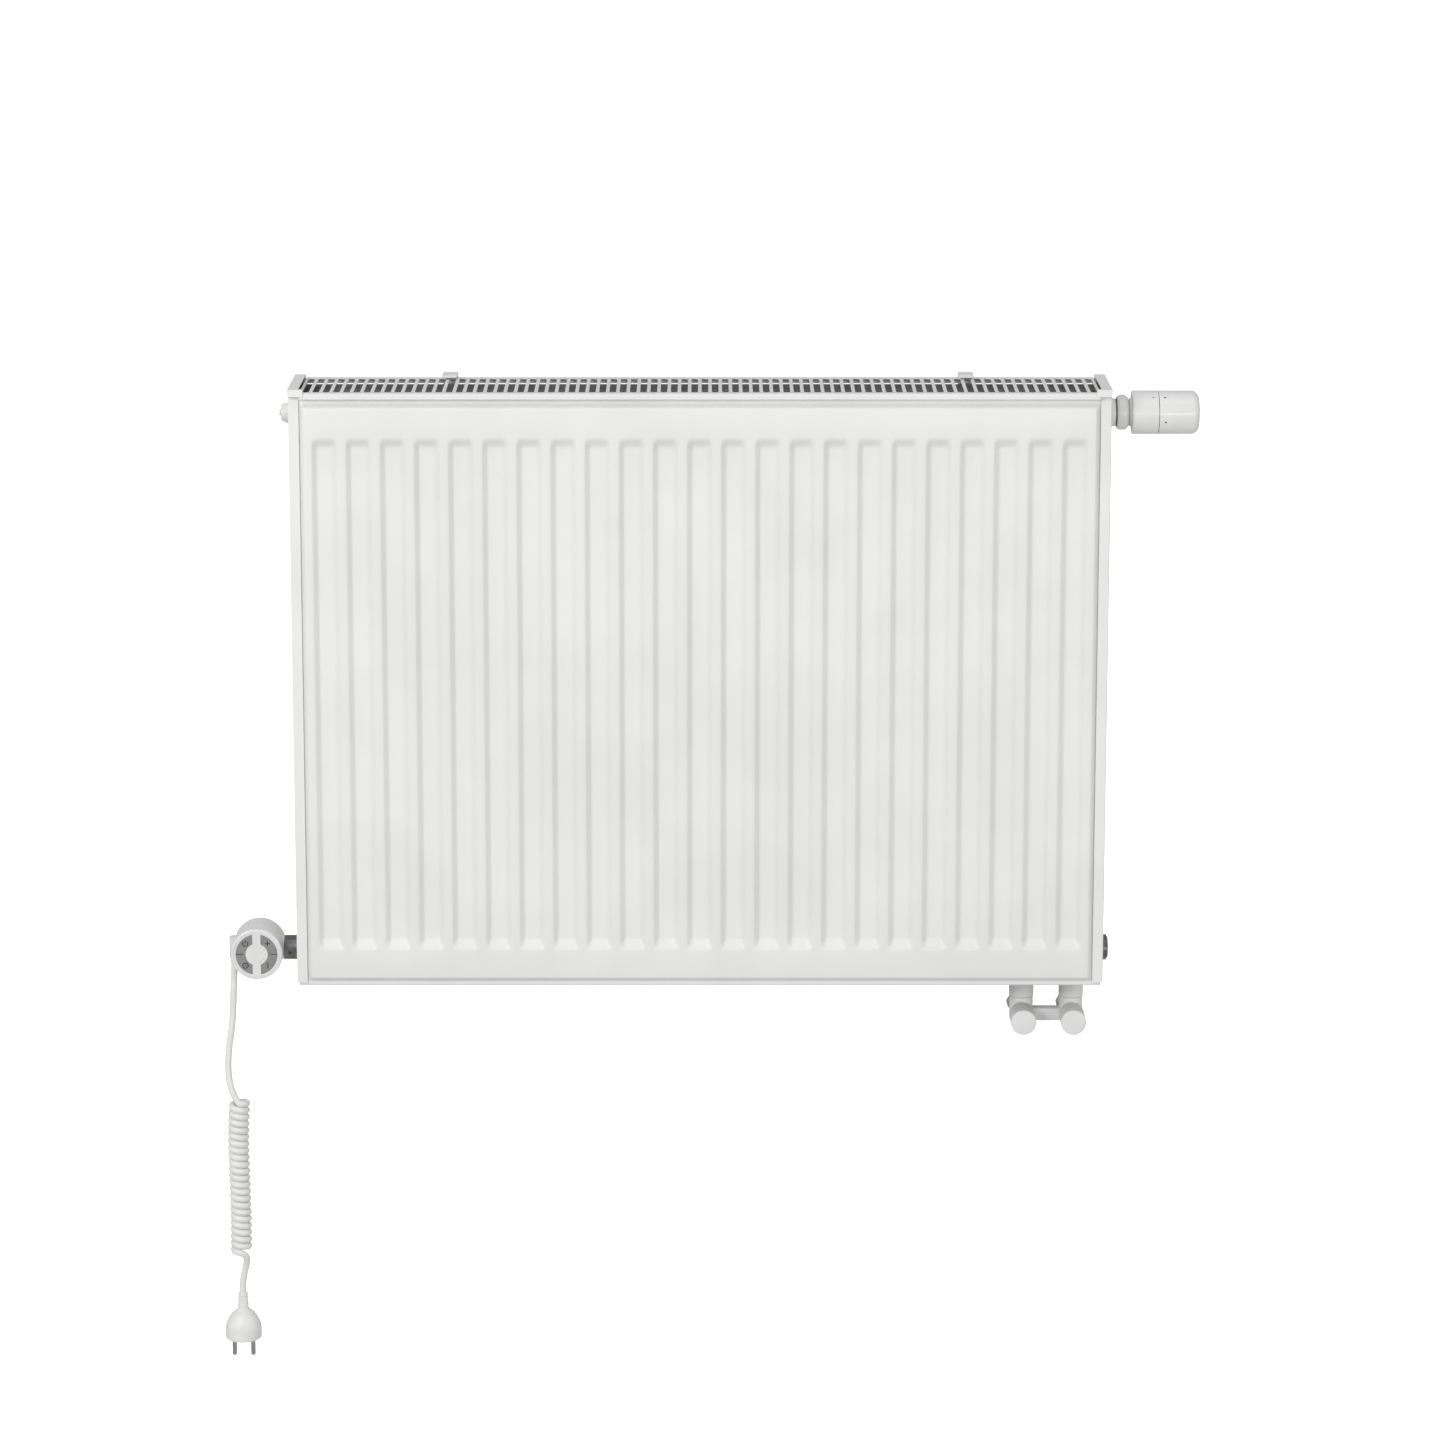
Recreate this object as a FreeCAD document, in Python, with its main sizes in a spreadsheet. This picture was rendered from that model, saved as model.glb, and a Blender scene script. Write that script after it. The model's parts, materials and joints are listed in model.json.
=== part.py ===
import FreeCAD, Part
import math
import os
import re

import Sketcher
from FreeCAD import Placement, Rotation, Vector

# Double-panel steel radiator with a thermostatic valve, an electric heating element and an H-valve.
#
# Frame: +X right, -Y out of the wall towards the room, +Z up. The origin is on the wall, at the centre
# of the four wall-screw holes. Formulas give a place as (x, behind, z): x from the radiator's middle,
# behind from the front plane of the front panel towards the wall, and z from its mid-height.

os.makedirs("parts", exist_ok=True)
doc = FreeCAD.newDocument("radiator")

SIZES = {
    # radiator block
    "width": 800, "height": 600, "depth": 100, "wall_gap": 35, "bracket_offset": 8, "hub_inset": 27,
    # pressed sheets: a raised field with a row of upright recesses, inside a flat weld rim
    "sheet_thickness": 1.25, "flank_wall": 0.6, "press_depth": 6.5,
    "rim_side": 13, "rim_end": 9, "rim_flank": 4,
    "recess_pitch": 33.333, "recess_width": 25, "recess_floor": 16, "recess_end_flank": 8,
    "recess_top_inset": 39.5, "recess_bottom_inset": 39, "end_land": 6,
    # convector fins
    "fin_depth": 26, "fin_thickness": 0.6, "fin_foot": 6, "fin_slant": 3,
    "fin_top_inset": 62, "fin_bottom_inset": 54,
    # pipework between the panels
    "tee_inset": 26, "tee_length": 40, "tee_wall": 3.6, "tee_arm_radius": 12, "water_bore": 8,
    "seat_bore": 5, "blind_wall": 6, "riser_seat": 8, "block_end_wall": 2, "stub_thread": 15,
    "thread_radius": 10.35, "thread_clearance": 0.05, "thread_depth": 23, "thread_inset": 2,
    "riser_radius": 7, "riser_wall": 1, "heater_tube_radius": 13.45, "heater_tube_wall": 1.95,
    # grille and side covers
    "cover_gap": 1, "cover_sheet": 1, "cover_wrap": 10.5, "cover_front_inset": 4.5, "cover_rise": 3.7,
    "cover_bottom_gap": 3, "tab_width": 15, "tab_height": 7.2, "tab_proud": 1.2, "port_gap": 0.65,
    "vent_hole_radius": 9, "grille_rise": 6, "grille_sheet": 1, "grille_gap": 0.5,
    "slot_pitch": 10, "slot_width": 6.5, "slot_margin": 8,
    # wall brackets
    "bracket_spacing": 512, "screw_spacing": 340, "screw_hole_radius": 4, "rail_width": 30,
    "rail_sheet": 2, "rail_top_inset": 30, "rail_bottom_inset": 4, "rail_gap": 0.8,
    "arm_drop": 6, "arm_sheet": 3.5, "arm_gap": 2, "lip_top": 3, "foot_clearance": 0.15,
    "foot_width": 22, "foot_margin": 0.5, "foot_back_gap": 3, "foot_top": 2.5,
    "catch_width": 14.5, "catch_sheet": 2.5, "catch_gap": 2,
    "catch_reach": 17, "catch_clearance": 0.25, "catch_length": 100,
    "catch_back_gap": 3, "catch_seat": 12, "guide_inset": 50, "spring_radius": 3.5,
    "spring_wire": 0.9, "spring_pitch": 5, "spring_back": 0.5,
    # thermostatic valve
    "seal_groove": 2, "seal_groove_depth": 1.65, "seal_place": 5, "spindle_radius": 1.6,
    "run_clearance": 0.05, "seat_gap": 0.2, "turn_gap": 0.3, "insert_floor": 3, "spring_room": 1.7,
    "insert_spring_length": 9.5, "spindle_clip_radius": 4.5, "spindle_clip": 1, "spindle_travel": 1.2,
    "rosette_step": 3.65, "rosette_gap": 0.15, "rosette_length": 7.1, "rosette_rounding": 1,
    "valve_thread_radius": 14.9, "valve_thread_start": 8, "valve_thread_length": 9,
    "nut_radius": 17.3, "nut_length": 12,
    "nut_rounding": 4.4, "nut_back_rounding": 2.2, "nut_lip": 1.6, "stem_radius": 12,
    "neck_radius": 13.9, "neck_length": 3,
    "sleeve_radius": 21.45, "sleeve_length": 25.5, "shell_wall": 2, "knob_radius": 21.35,
    "knob_length": 40, "knob_rounding": 7.5, "knob_seam": 0.5, "hub_length": 47,
    "capsule_radius": 9.95, "capsule_length": 16, "capsule_inset": 2, "capsule_bevel": 1,
    "pin_radius": 2.5, "pin_inset": 2, "pin_way_radius": 5, "collar_gap": 0.1, "knob_cap": 2.5,
    "knob_hub_inset": 2, "knob_hub_wall": 2, "knob_bevel": 5, "cone_gap": 1.5, "cone_taper": 1.5,
    "cone_face": 2, "cone_clearance": 1, "cone_neck": 1, "insert_spring_pitch": 3, "spring_gap": 1,
    "overtravel_radius": 7, "overtravel_pitch": 3.5,
    # vent plug and blanking plug
    "vent_ring_radius": 9.5, "vent_ring_length": 9.9, "vent_boss_radius": 4, "vent_screw_radius": 1.5,
    "vent_head_radius": 3.2, "vent_head_length": 1.9, "vent_screw_depth": 10,
    "vent_slot_width": 1, "vent_slot_depth": 1.1, "vent_face_step": 0.9, "vent_face_length": 2.4,
    "vent_flange_inset": 1.2, "vent_rounding": 0.8, "nozzle_place": 4.5, "nozzle_radius": 2,
    "nozzle_bore": 0.9, "blank_step": 3.05, "blank_flange": 2.2,
    "blank_hex": 4.4, "blank_boss_radius": 11.5, "blank_boss": 1.2, "blank_hex_step": 1.5, "blank_bevel": 1,
    "socket_radius": 4.6, "socket_depth": 8,
    # heating element and its control head
    "collar_step": 2.05, "collar_length": 15.5, "rib_pitch": 2.6, "rib_gap": 0.9, "rib_depth": 0.6,
    "rib_margin": 1.2,
    "rod_radius": 5, "rod_length": 560, "rod_bevel": 2, "rod_reach": 6.8,
    "set_screw_radius": 1.75, "set_screw_place": 10, "set_screw_inset": 1.2, "drive_radius": 0.9,
    "drive_depth": 1.8,
    "drum_radius": 26, "drum_front": 22, "drum_length": 50, "drum_wall": 2, "drum_bevel": 5,
    "drum_neck_room": 8, "drum_front_rounding": 1.6, "drum_back_rounding": 6,
    "bezel_width": 2.8, "bezel_depth": 2.6, "bezel_taper": 1,
    "stub_radius": 12, "plate_recess": 0.4, "plate_thickness": 2, "plate_clearance": 0.1,
    "button_margin": 2.4, "button_inner": 11.3, "button_bar": 8.5, "button_split": 0.3,
    "button_proud": 0.3, "button_height": 3.5, "button_clearance": 0.12, "board_clearance": 0.1,
    "board_thickness": 1.6, "board_depth": 7,
    # mains lead
    "boss_inset": 1.7, "boss_radius": 5.6, "boss_top": 11, "gland_radius": 4.8, "gland_tip": 4.1,
    "gland_length": 20, "gland_drop": 19, "gland_taper": 7, "lead_radius": 3.5, "curl_radius": 11.2,
    "plug_neck_radius": 4.9, "plug_neck": 18, "plug_radius": 18.5, "plug_taper": 12,
    "plug_length": 48, "plug_below": 366, "plug_right": 1.4, "plug_neck_taper": 1.2,
    "plug_rounding": 2, "plug_pin_rounding": 1.6, "pin_pair_spacing": 19,
    "plug_pin_radius": 2.4, "plug_pin_length": 19,
    # H-valve
    "valve_inset": 51, "valve_spacing": 50, "stub_thread_radius": 10, "union_radius": 12.5,
    "union_top": 1, "union_bottom": 23, "union_lip": 3, "union_rounding": 1,
    "union_neck_gap": 1.2, "union_play": 0.3,
    "barrel_radius": 11.9, "barrel_rounding": 4, "stem_wall": 1, "stem_collar": 3,
    "stem_collar_gap": 0.2, "barrel_bottom": 50,
    "port_drop": 39.5, "cap_radius": 12.8, "cap_front": 7, "cap_back": 37, "cap_face": 2.5,
    "cap_rounding": 1.2, "spindle_front": 13, "shutoff_radius": 4, "link_height": 12.6,
    "link_depth": 12, "link_drop": 42, "pipe_radius": 7.6, "pipe_socket": 66, "nut_front": 69,
    "nut_back": 86, "nut_corner_radius": 13, "nut_step": 6,
    "way_wall": 1.5, "spindle_inset": 2, "spindle_proud": 1.5, "spindle_slot": 1.2, "spindle_slot_depth": 0.8,
}

sheet = doc.addObject("Spreadsheet::Sheet", "dims")
for row, (alias, size) in enumerate(SIZES.items(), start=1):
    sheet.set("A%d" % row, alias)
    sheet.set("B%d" % row, str(size))
    sheet.setAlias("B%d" % row, alias)
doc.recompute()

# Derived places, as formulas in the sheet's names
COVER = "(width/2 + cover_gap + cover_sheet)"
MIDDLE = "(depth/2)"
HUB = "(height/2 - hub_inset)"
WELD = "(press_depth + sheet_thickness)"
PANEL_TOP = "(height/2 - grille_rise)"
PANEL_BOTTOM = "(-height/2)"
RECESSES = "(floor((width - 2*rim_side - 2*end_land - recess_width)/recess_pitch) + 1)"
FIRST_RECESS = "(-recess_pitch*(%s - 1)/2)" % RECESSES
TEE = "(width/2 - tee_inset)"
THREAD_BORE = "(thread_radius + thread_clearance)"
THREAD_START = "(thread_inset - thread_depth)"
TEE_RADIUS = "(%s + tee_wall)" % THREAD_BORE
PORT_HOLE = "(thread_radius + port_gap)"
COLLAR_RADIUS = "(thread_radius + collar_step)"
BLANK_RADIUS = "(thread_radius + blank_step)"
BLOCK_END = "(width/2 - valve_inset - valve_spacing/2 - %s - block_end_wall)" % TEE_RADIUS
SUPPLY = "(width/2 - valve_inset - valve_spacing/2)"
RETURN = "(width/2 - valve_inset + valve_spacing/2)"
NUT_START = "(valve_thread_start + turn_gap)"
NUT_END = "(valve_thread_start + nut_length)"
SLEEVE_START = "(%s + turn_gap + neck_length)" % NUT_END
KNOB_START = "(%s + sleeve_length + knob_seam)" % SLEEVE_START
COLLAR_FACE = "(seat_gap + collar_length)"
DRUM = "(-%s - %s - turn_gap - drum_radius)" % (COVER, COLLAR_FACE)
BEZEL = "(drum_radius - bezel_width)"
BUTTON_OUTER = "(%s - button_margin)" % BEZEL
PORT = "(-height/2 - port_drop)"

NAME = re.compile(r"[a-z][a-z_]*")
AXES = {
    "+X": Rotation(Vector(0, 0, 1), Vector(1, 0, 0)),
    "-X": Rotation(Vector(0, 0, 1), Vector(-1, 0, 0)),
    "+Y": Rotation(Vector(0, 0, 1), Vector(0, 1, 0)),
    "-Y": Rotation(Vector(0, 0, 1), Vector(0, -1, 0)),
    "+Z": Rotation(),
    "-Z": Rotation(Vector(1, 0, 0), 180),
}
# How far a cutting tool reaches past the faces it opens
PAST = 1
nodes = []


def formula(text):
    """Give each of the sheet's names in a formula its sheet prefix."""
    return NAME.sub(lambda m: "dims." + m.group(0) if m.group(0) in SIZES else m.group(0), str(text))


def bind(item, **sizes):
    for prop, text in sizes.items():
        item.setExpression(prop, formula(text))


def place(item, x, behind, z, turn=Rotation()):
    item.Placement = Placement(Vector(), turn)
    item.setExpression("Placement.Base.x", formula("%s - bracket_offset" % x))
    item.setExpression("Placement.Base.y", formula("%s - depth - wall_gap" % behind))
    item.setExpression("Placement.Base.z", formula("%s + 0" % z))


def node(item, label):
    item.Label = label
    nodes.append(item)
    return item


def block(name, x, behind, z):
    """A box between two formulas along each axis."""
    box = doc.addObject("Part::Box", name)
    bind(box, Length="(%s) - (%s)" % (x[1], x[0]), Width="(%s) - (%s)" % (behind[1], behind[0]),
         Height="(%s) - (%s)" % (z[1], z[0]))
    place(box, "(%s)" % x[0], "(%s)" % behind[0], "(%s)" % z[0])
    return box


def rod(name, axis, at, radius, length):
    cylinder = doc.addObject("Part::Cylinder", name)
    bind(cylinder, Radius=radius, Height=length)
    place(cylinder, *at, turn=AXES[axis])
    return cylinder


def hexagon(name, axis, at, corner_radius, length):
    prism = doc.addObject("Part::Prism", name)
    prism.Polygon = 6
    bind(prism, Circumradius=corner_radius, Height=length)
    place(prism, *at, turn=AXES[axis])
    return prism


def fuse(name, *pieces):
    joined = doc.addObject("Part::MultiFuse", name)
    joined.Shapes = list(pieces)
    joined.Refine = True
    return joined


def cut(name, base, *tools):
    result = doc.addObject("Part::Cut", name)
    result.Base = base
    result.Tool = tools[0] if len(tools) == 1 else fuse(name + "_tools", *tools)
    result.Refine = True
    return result


def common(name, first, second):
    result = doc.addObject("Part::Common", name)
    result.Base = first
    result.Tool = second
    result.Refine = True
    return result


def origin_feature(body, role):
    return next(item for item in body.Origin.OriginFeatures if item.Role == role)


def outline(body, plane, corners):
    """A closed sketch of straight lines, with each corner's two coordinates bound to formulas."""
    sketch = body.newObject("Sketcher::SketchObject", body.Name + "_outline")
    sketch.AttachmentSupport = (origin_feature(body, plane), [""])
    sketch.MapMode = "FlatFace"
    count = len(corners)
    start = [Vector(30 + 10*math.cos(2*math.pi*i/count + 0.1), 30 + 10*math.sin(2*math.pi*i/count + 0.1), 0)
             for i in range(count)]
    for i in range(count):
        sketch.addGeometry(Part.LineSegment(start[i], start[(i + 1) % count]))
    for i in range(count):
        sketch.addConstraint(Sketcher.Constraint("Coincident", i, 2, (i + 1) % count, 1))
    for i, corner in enumerate(corners):
        for kind, at, text in (("DistanceX", start[i].x, corner[0]), ("DistanceY", start[i].y, corner[1])):
            index = sketch.addConstraint(Sketcher.Constraint(kind, i, 1, at))
            sketch.setExpression("Constraints[%d]" % index, formula("%s + 0" % text))
    return sketch


def rim_edge(shape, top):
    """The name of the largest full circle at one end of a turned shape."""
    circles = [(edge.Curve.Center.z if top else -edge.Curve.Center.z, edge.Curve.Radius, number)
               for number, edge in enumerate(shape.Edges, start=1)
               if isinstance(edge.Curve, Part.Circle) and edge.isClosed()]
    end = max(circle[0] for circle in circles)
    at_end = [circle for circle in circles if abs(circle[0] - end) < 0.001]
    return "Edge%d" % max(at_end, key=lambda circle: circle[1])[2]


def turned(name, axis, at, corners, round_top=None, round_bottom=None):
    """A body turned from an outline of (radius, distance along the axis) corners."""
    body = doc.addObject("PartDesign::Body", name)
    sketch = outline(body, "XZ_Plane", corners)
    turn = body.newObject("PartDesign::Revolution", name + "_turning")
    turn.Profile = sketch
    turn.ReferenceAxis = (sketch, ["V_Axis"])
    turn.Angle = 360
    place(body, *at, turn=AXES[axis])
    for top, radius in ((True, round_top), (False, round_bottom)):
        if radius:
            doc.recompute()
            base = body.Tip
            rounding = body.newObject("PartDesign::Fillet", name + ("_top" if top else "_bottom"))
            rounding.Base = (base, [rim_edge(base.Shape, top)])
            bind(rounding, Radius=radius)
    return body


def spring(name, at, mean_radius, wire_radius, pitch, length, axis="+Z"):
    """A round-wire coil spring along its axis."""
    body = doc.addObject("PartDesign::Body", name)
    sketch = body.newObject("Sketcher::SketchObject", name + "_wire")
    sketch.AttachmentSupport = (origin_feature(body, "XZ_Plane"), [""])
    sketch.MapMode = "FlatFace"
    sketch.addGeometry(Part.Circle(Vector(5, 1, 0), Vector(0, 0, 1), 0.5))
    for kind, where, text in (("DistanceX", 3, mean_radius), ("DistanceY", 3, wire_radius)):
        index = sketch.addConstraint(Sketcher.Constraint(kind, 0, where, 1.0))
        sketch.setExpression("Constraints[%d]" % index, formula(text))
    index = sketch.addConstraint(Sketcher.Constraint("Radius", 0, 0.5))
    sketch.setExpression("Constraints[%d]" % index, formula(wire_radius))
    coil = body.newObject("PartDesign::AdditiveHelix", name + "_coil")
    coil.Profile = sketch
    coil.ReferenceAxis = (sketch, ["V_Axis"])
    coil.Mode = 0
    bind(coil, Pitch=pitch, Height="%s - 2*%s" % (length, wire_radius))
    place(body, *at, turn=AXES[axis])
    return body


def wedge(body, kind, name, front, back, middle="0"):
    """A tapered block along Y. Each end is (y, half width, lowest z, highest z)."""
    piece = body.newObject("PartDesign::%sWedge" % kind, name)
    bind(piece, Ymin=front[0], Ymax=back[0],
         Xmin="%s - %s" % (middle, front[1]), Xmax="%s + %s" % (middle, front[1]),
         Zmin=front[2], Zmax=front[3],
         X2min="%s - %s" % (middle, back[1]), X2max="%s + %s" % (middle, back[1]),
         Z2min=back[2], Z2max=back[3])
    return piece


def row_of(body, feature, spacing, count):
    pattern = body.newObject("PartDesign::LinearPattern", feature.Name + "_row")
    pattern.Originals = [feature]
    pattern.Direction = (origin_feature(body, "X_Axis"), [""])
    bind(pattern, Length="%s*(%s - 1)" % (spacing, count), Occurrences=count)
    body.Tip = pattern
    return pattern


# ---- panels ----

def pressed_sheet(name, weld_place, turn, with_ports):
    """One pressed sheet. Its weld plane is y = 0, and its field is raised towards -y."""
    body = doc.addObject("PartDesign::Body", name)
    rim = body.newObject("PartDesign::AdditiveBox", name + "_rim")
    bind(rim, Length="width", Width="sheet_thickness", Height="%s - %s" % (PANEL_TOP, PANEL_BOTTOM))
    rim.setExpression("Placement.Base.x", formula("-width/2"))
    rim.setExpression("Placement.Base.y", formula("-sheet_thickness"))
    rim.setExpression("Placement.Base.z", formula(PANEL_BOTTOM))
    face, skin, weld = "(-%s)" % WELD, "(-press_depth)", "(-sheet_thickness)"
    half, low, high = "(width/2 - rim_side)", "(%s + rim_end)" % PANEL_BOTTOM, "(%s - rim_end)" % PANEL_TOP
    wedge(body, "Additive", name + "_field", (face, half, low, high),
          (weld, half + " + rim_flank", low + " - rim_flank", high + " + rim_flank"))
    wedge(body, "Subtractive", name + "_waterway",
          (skin, half + " - flank_wall", low + " + flank_wall", high + " - flank_wall"),
          ("0", half + " + rim_flank - flank_wall", low + " - rim_flank + flank_wall",
           high + " + rim_flank - flank_wall"))
    low, high = "(-height/2 + recess_bottom_inset)", "(%s - recess_top_inset)" % PANEL_TOP
    wall = wedge(body, "Additive", name + "_recess_wall",
                 (skin, "(recess_width/2 + flank_wall)", low + " - flank_wall", high + " + flank_wall"),
                 ("0", "(recess_floor/2 + flank_wall)", low + " + recess_end_flank - flank_wall",
                  high + " - recess_end_flank + flank_wall"), FIRST_RECESS)
    row_of(body, wall, "recess_pitch", RECESSES)
    hollow = wedge(body, "Subtractive", name + "_recess",
                   (face, "(recess_width/2)", low, high),
                   (weld, "(recess_floor/2)", low + " + recess_end_flank", high + " - recess_end_flank"),
                   FIRST_RECESS)
    row_of(body, hollow, "recess_pitch", RECESSES)
    if with_ports:
        for corner, (side, end) in enumerate(((-1, -1), (-1, 1), (1, -1), (1, 1))):
            port = body.newObject("PartDesign::SubtractiveCylinder", "%s_port_%d" % (name, corner))
            bind(port, Radius="water_bore", Height="2*%s" % WELD)
            port.Placement = Placement(Vector(), AXES["-Y"])
            port.setExpression("Placement.Base.x", formula("%d*%s" % (side, TEE)))
            port.setExpression("Placement.Base.z", formula("%d*%s" % (end, HUB)))
    place(body, "0", weld_place, "0", turn)
    return node(body, name)


HALF_TURN = Rotation(Vector(0, 0, 1), 180)
pressed_sheet("front_panel_outer_sheet", WELD, Rotation(), False)
pressed_sheet("front_panel_inner_sheet", WELD, HALF_TURN, True)
pressed_sheet("rear_panel_inner_sheet", "(depth - %s)" % WELD, Rotation(), True)
pressed_sheet("rear_panel_outer_sheet", "(depth - %s)" % WELD, HALF_TURN, False)


def convector(name, back_of_panel, turn):
    """A folded fin sheet: one fold, repeated across the panel."""
    body = doc.addObject("PartDesign::Body", name)
    foot, far, pitch = "fin_foot/2", "fin_depth", "recess_pitch"
    crest, thick = "(fin_foot/2 + fin_slant)", "fin_thickness"
    corners = [
        ("0", "0"), (foot, "0"), (crest, "%s - %s" % (far, thick)),
        ("%s - %s" % (pitch, crest), "%s - %s" % (far, thick)), ("%s - %s" % (pitch, foot), "0"),
        (pitch, "0"), (pitch, thick), ("%s - %s + %s" % (pitch, foot, thick), thick),
        ("%s - %s + %s" % (pitch, crest, thick), far), ("%s - %s" % (crest, thick), far),
        ("%s - %s" % (foot, thick), thick), ("0", thick),
    ]
    shifted = [("%s - recess_pitch*%s/2 " % (x, RECESSES), y) for x, y in corners]
    fold = body.newObject("PartDesign::Pad", name + "_fold")
    fold.Profile = outline(body, "XY_Plane", shifted)
    bind(fold, Length="%s - %s - fin_top_inset - fin_bottom_inset" % (PANEL_TOP, PANEL_BOTTOM))
    body.Tip = fold
    row_of(body, fold, "recess_pitch", RECESSES)
    place(body, "0", back_of_panel, "(%s + fin_bottom_inset)" % PANEL_BOTTOM, turn)
    return node(body, name)


convector("front_convector", "(2*%s)" % WELD, Rotation())
convector("rear_convector", "(depth - 2*%s)" % WELD, HALF_TURN)


# ---- pipework between the panels ----

def tee(name, side, end, seat_bore_end):
    """A corner tee: a threaded arm out to the side and an arm to each panel."""
    outward, inward = ("+X", "-X") if side > 0 else ("-X", "+X")
    z = "(%d*%s)" % (end, HUB)
    mouth = ("(%d*width/2)" % side, MIDDLE, z)
    arm = rod(name + "_arm", "+Y", ("(%d*%s)" % (side, TEE), "(2*%s)" % WELD, z),
              "tee_arm_radius", "depth - 4*%s" % WELD)
    barrel = rod(name + "_barrel", inward, mouth, TEE_RADIUS, "tee_length")
    return cut(name, fuse(name + "_casting", arm, barrel),
               rod(name + "_thread", inward, mouth, THREAD_BORE, "thread_depth"),
               rod(name + "_way", inward, mouth, "water_bore", seat_bore_end),
               rod(name + "_arm_way", "+Y", ("(%d*%s)" % (side, TEE), "(2*%s)" % WELD, z),
                   "water_bore", "depth - 4*%s" % WELD))


node(tee("tee_top_left", -1, 1, "tee_length - blind_wall"), "tee_top_left")
node(tee("tee_bottom_left", -1, -1, "tee_length"), "tee_bottom_left")


def manifold(name, end):
    """A long right-hand casting that also takes the riser pipe at the supply axis."""
    z = "(%d*%s)" % (end, HUB)
    mouth = ("(width/2)", MIDDLE, z)
    arm_place = (TEE, "(2*%s)" % WELD, z)
    pieces = [
        rod(name + "_arm", "+Y", arm_place, "tee_arm_radius", "depth - 4*%s" % WELD),
        rod(name + "_barrel", "-X", mouth, TEE_RADIUS, "width/2 - %s" % BLOCK_END),
    ]
    ways = [
        rod(name + "_thread", "-X", mouth, THREAD_BORE, "thread_depth"),
        rod(name + "_chamber", "-X", mouth, "water_bore", "tee_length - riser_seat"),
        rod(name + "_arm_way", "+Y", arm_place, "water_bore", "depth - 4*%s" % WELD),
        rod(name + "_riser_seat", "-Z" if end > 0 else "+Z",
            (SUPPLY, MIDDLE, "(%s - %d*riser_seat)" % (z, end)),
            "riser_radius + thread_clearance", TEE_RADIUS),
    ]
    return z, pieces, ways


z, pieces, ways = manifold("valve_housing", 1)
ways.append(rod("valve_seat", "-X", ("(width/2)", MIDDLE, z), "seat_bore", "tee_length"))
ways.append(rod("valve_supply_way", "+X", (SUPPLY, MIDDLE, z), "riser_radius - riser_wall",
                "valve_spacing/2"))
ways.append(rod("valve_riser_way", "-Z", (SUPPLY, MIDDLE, z), "riser_radius - riser_wall", TEE_RADIUS))
node(cut("valve_housing", fuse("valve_housing_casting", *pieces), *ways), "valve_housing")

z, pieces, ways = manifold("connection_block", -1)
STUB_LENGTH = "(height/2 + union_top + stub_thread - %s)" % HUB
for stub, x in (("supply", SUPPLY), ("return", RETURN)):
    pieces.append(rod("block_%s_stub" % stub, "-Z", (x, MIDDLE, z), "stub_thread_radius", STUB_LENGTH))
    ways.append(rod("block_%s_way" % stub, "-Z", (x, MIDDLE, z), "riser_radius - riser_wall", STUB_LENGTH))
ways.append(rod("block_riser_way", "+Z", (SUPPLY, MIDDLE, z), "riser_radius - riser_wall", TEE_RADIUS))
node(cut("connection_block", fuse("connection_block_casting", *pieces), *ways), "connection_block")

RISER_START = (SUPPLY, MIDDLE, "(-%s + riser_seat)" % HUB)
RISER_LENGTH = "2*(%s - riser_seat)" % HUB
node(cut("valve_riser_pipe",
         rod("riser_outside", "+Z", RISER_START, "riser_radius", RISER_LENGTH),
         rod("riser_inside", "+Z", RISER_START, "riser_radius - riser_wall", RISER_LENGTH)),
     "valve_riser_pipe")

TUBE_START = ("(-width/2 + tee_length)", MIDDLE, "(-%s)" % HUB)
TUBE_LENGTH = "%s + width/2 - tee_length" % BLOCK_END
node(cut("heater_tube",
         rod("heater_tube_outside", "+X", TUBE_START, "heater_tube_radius", TUBE_LENGTH),
         rod("heater_tube_inside", "+X", TUBE_START, "heater_tube_radius - heater_tube_wall",
             TUBE_LENGTH)), "heater_tube")


# ---- top grille and side covers ----

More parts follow.
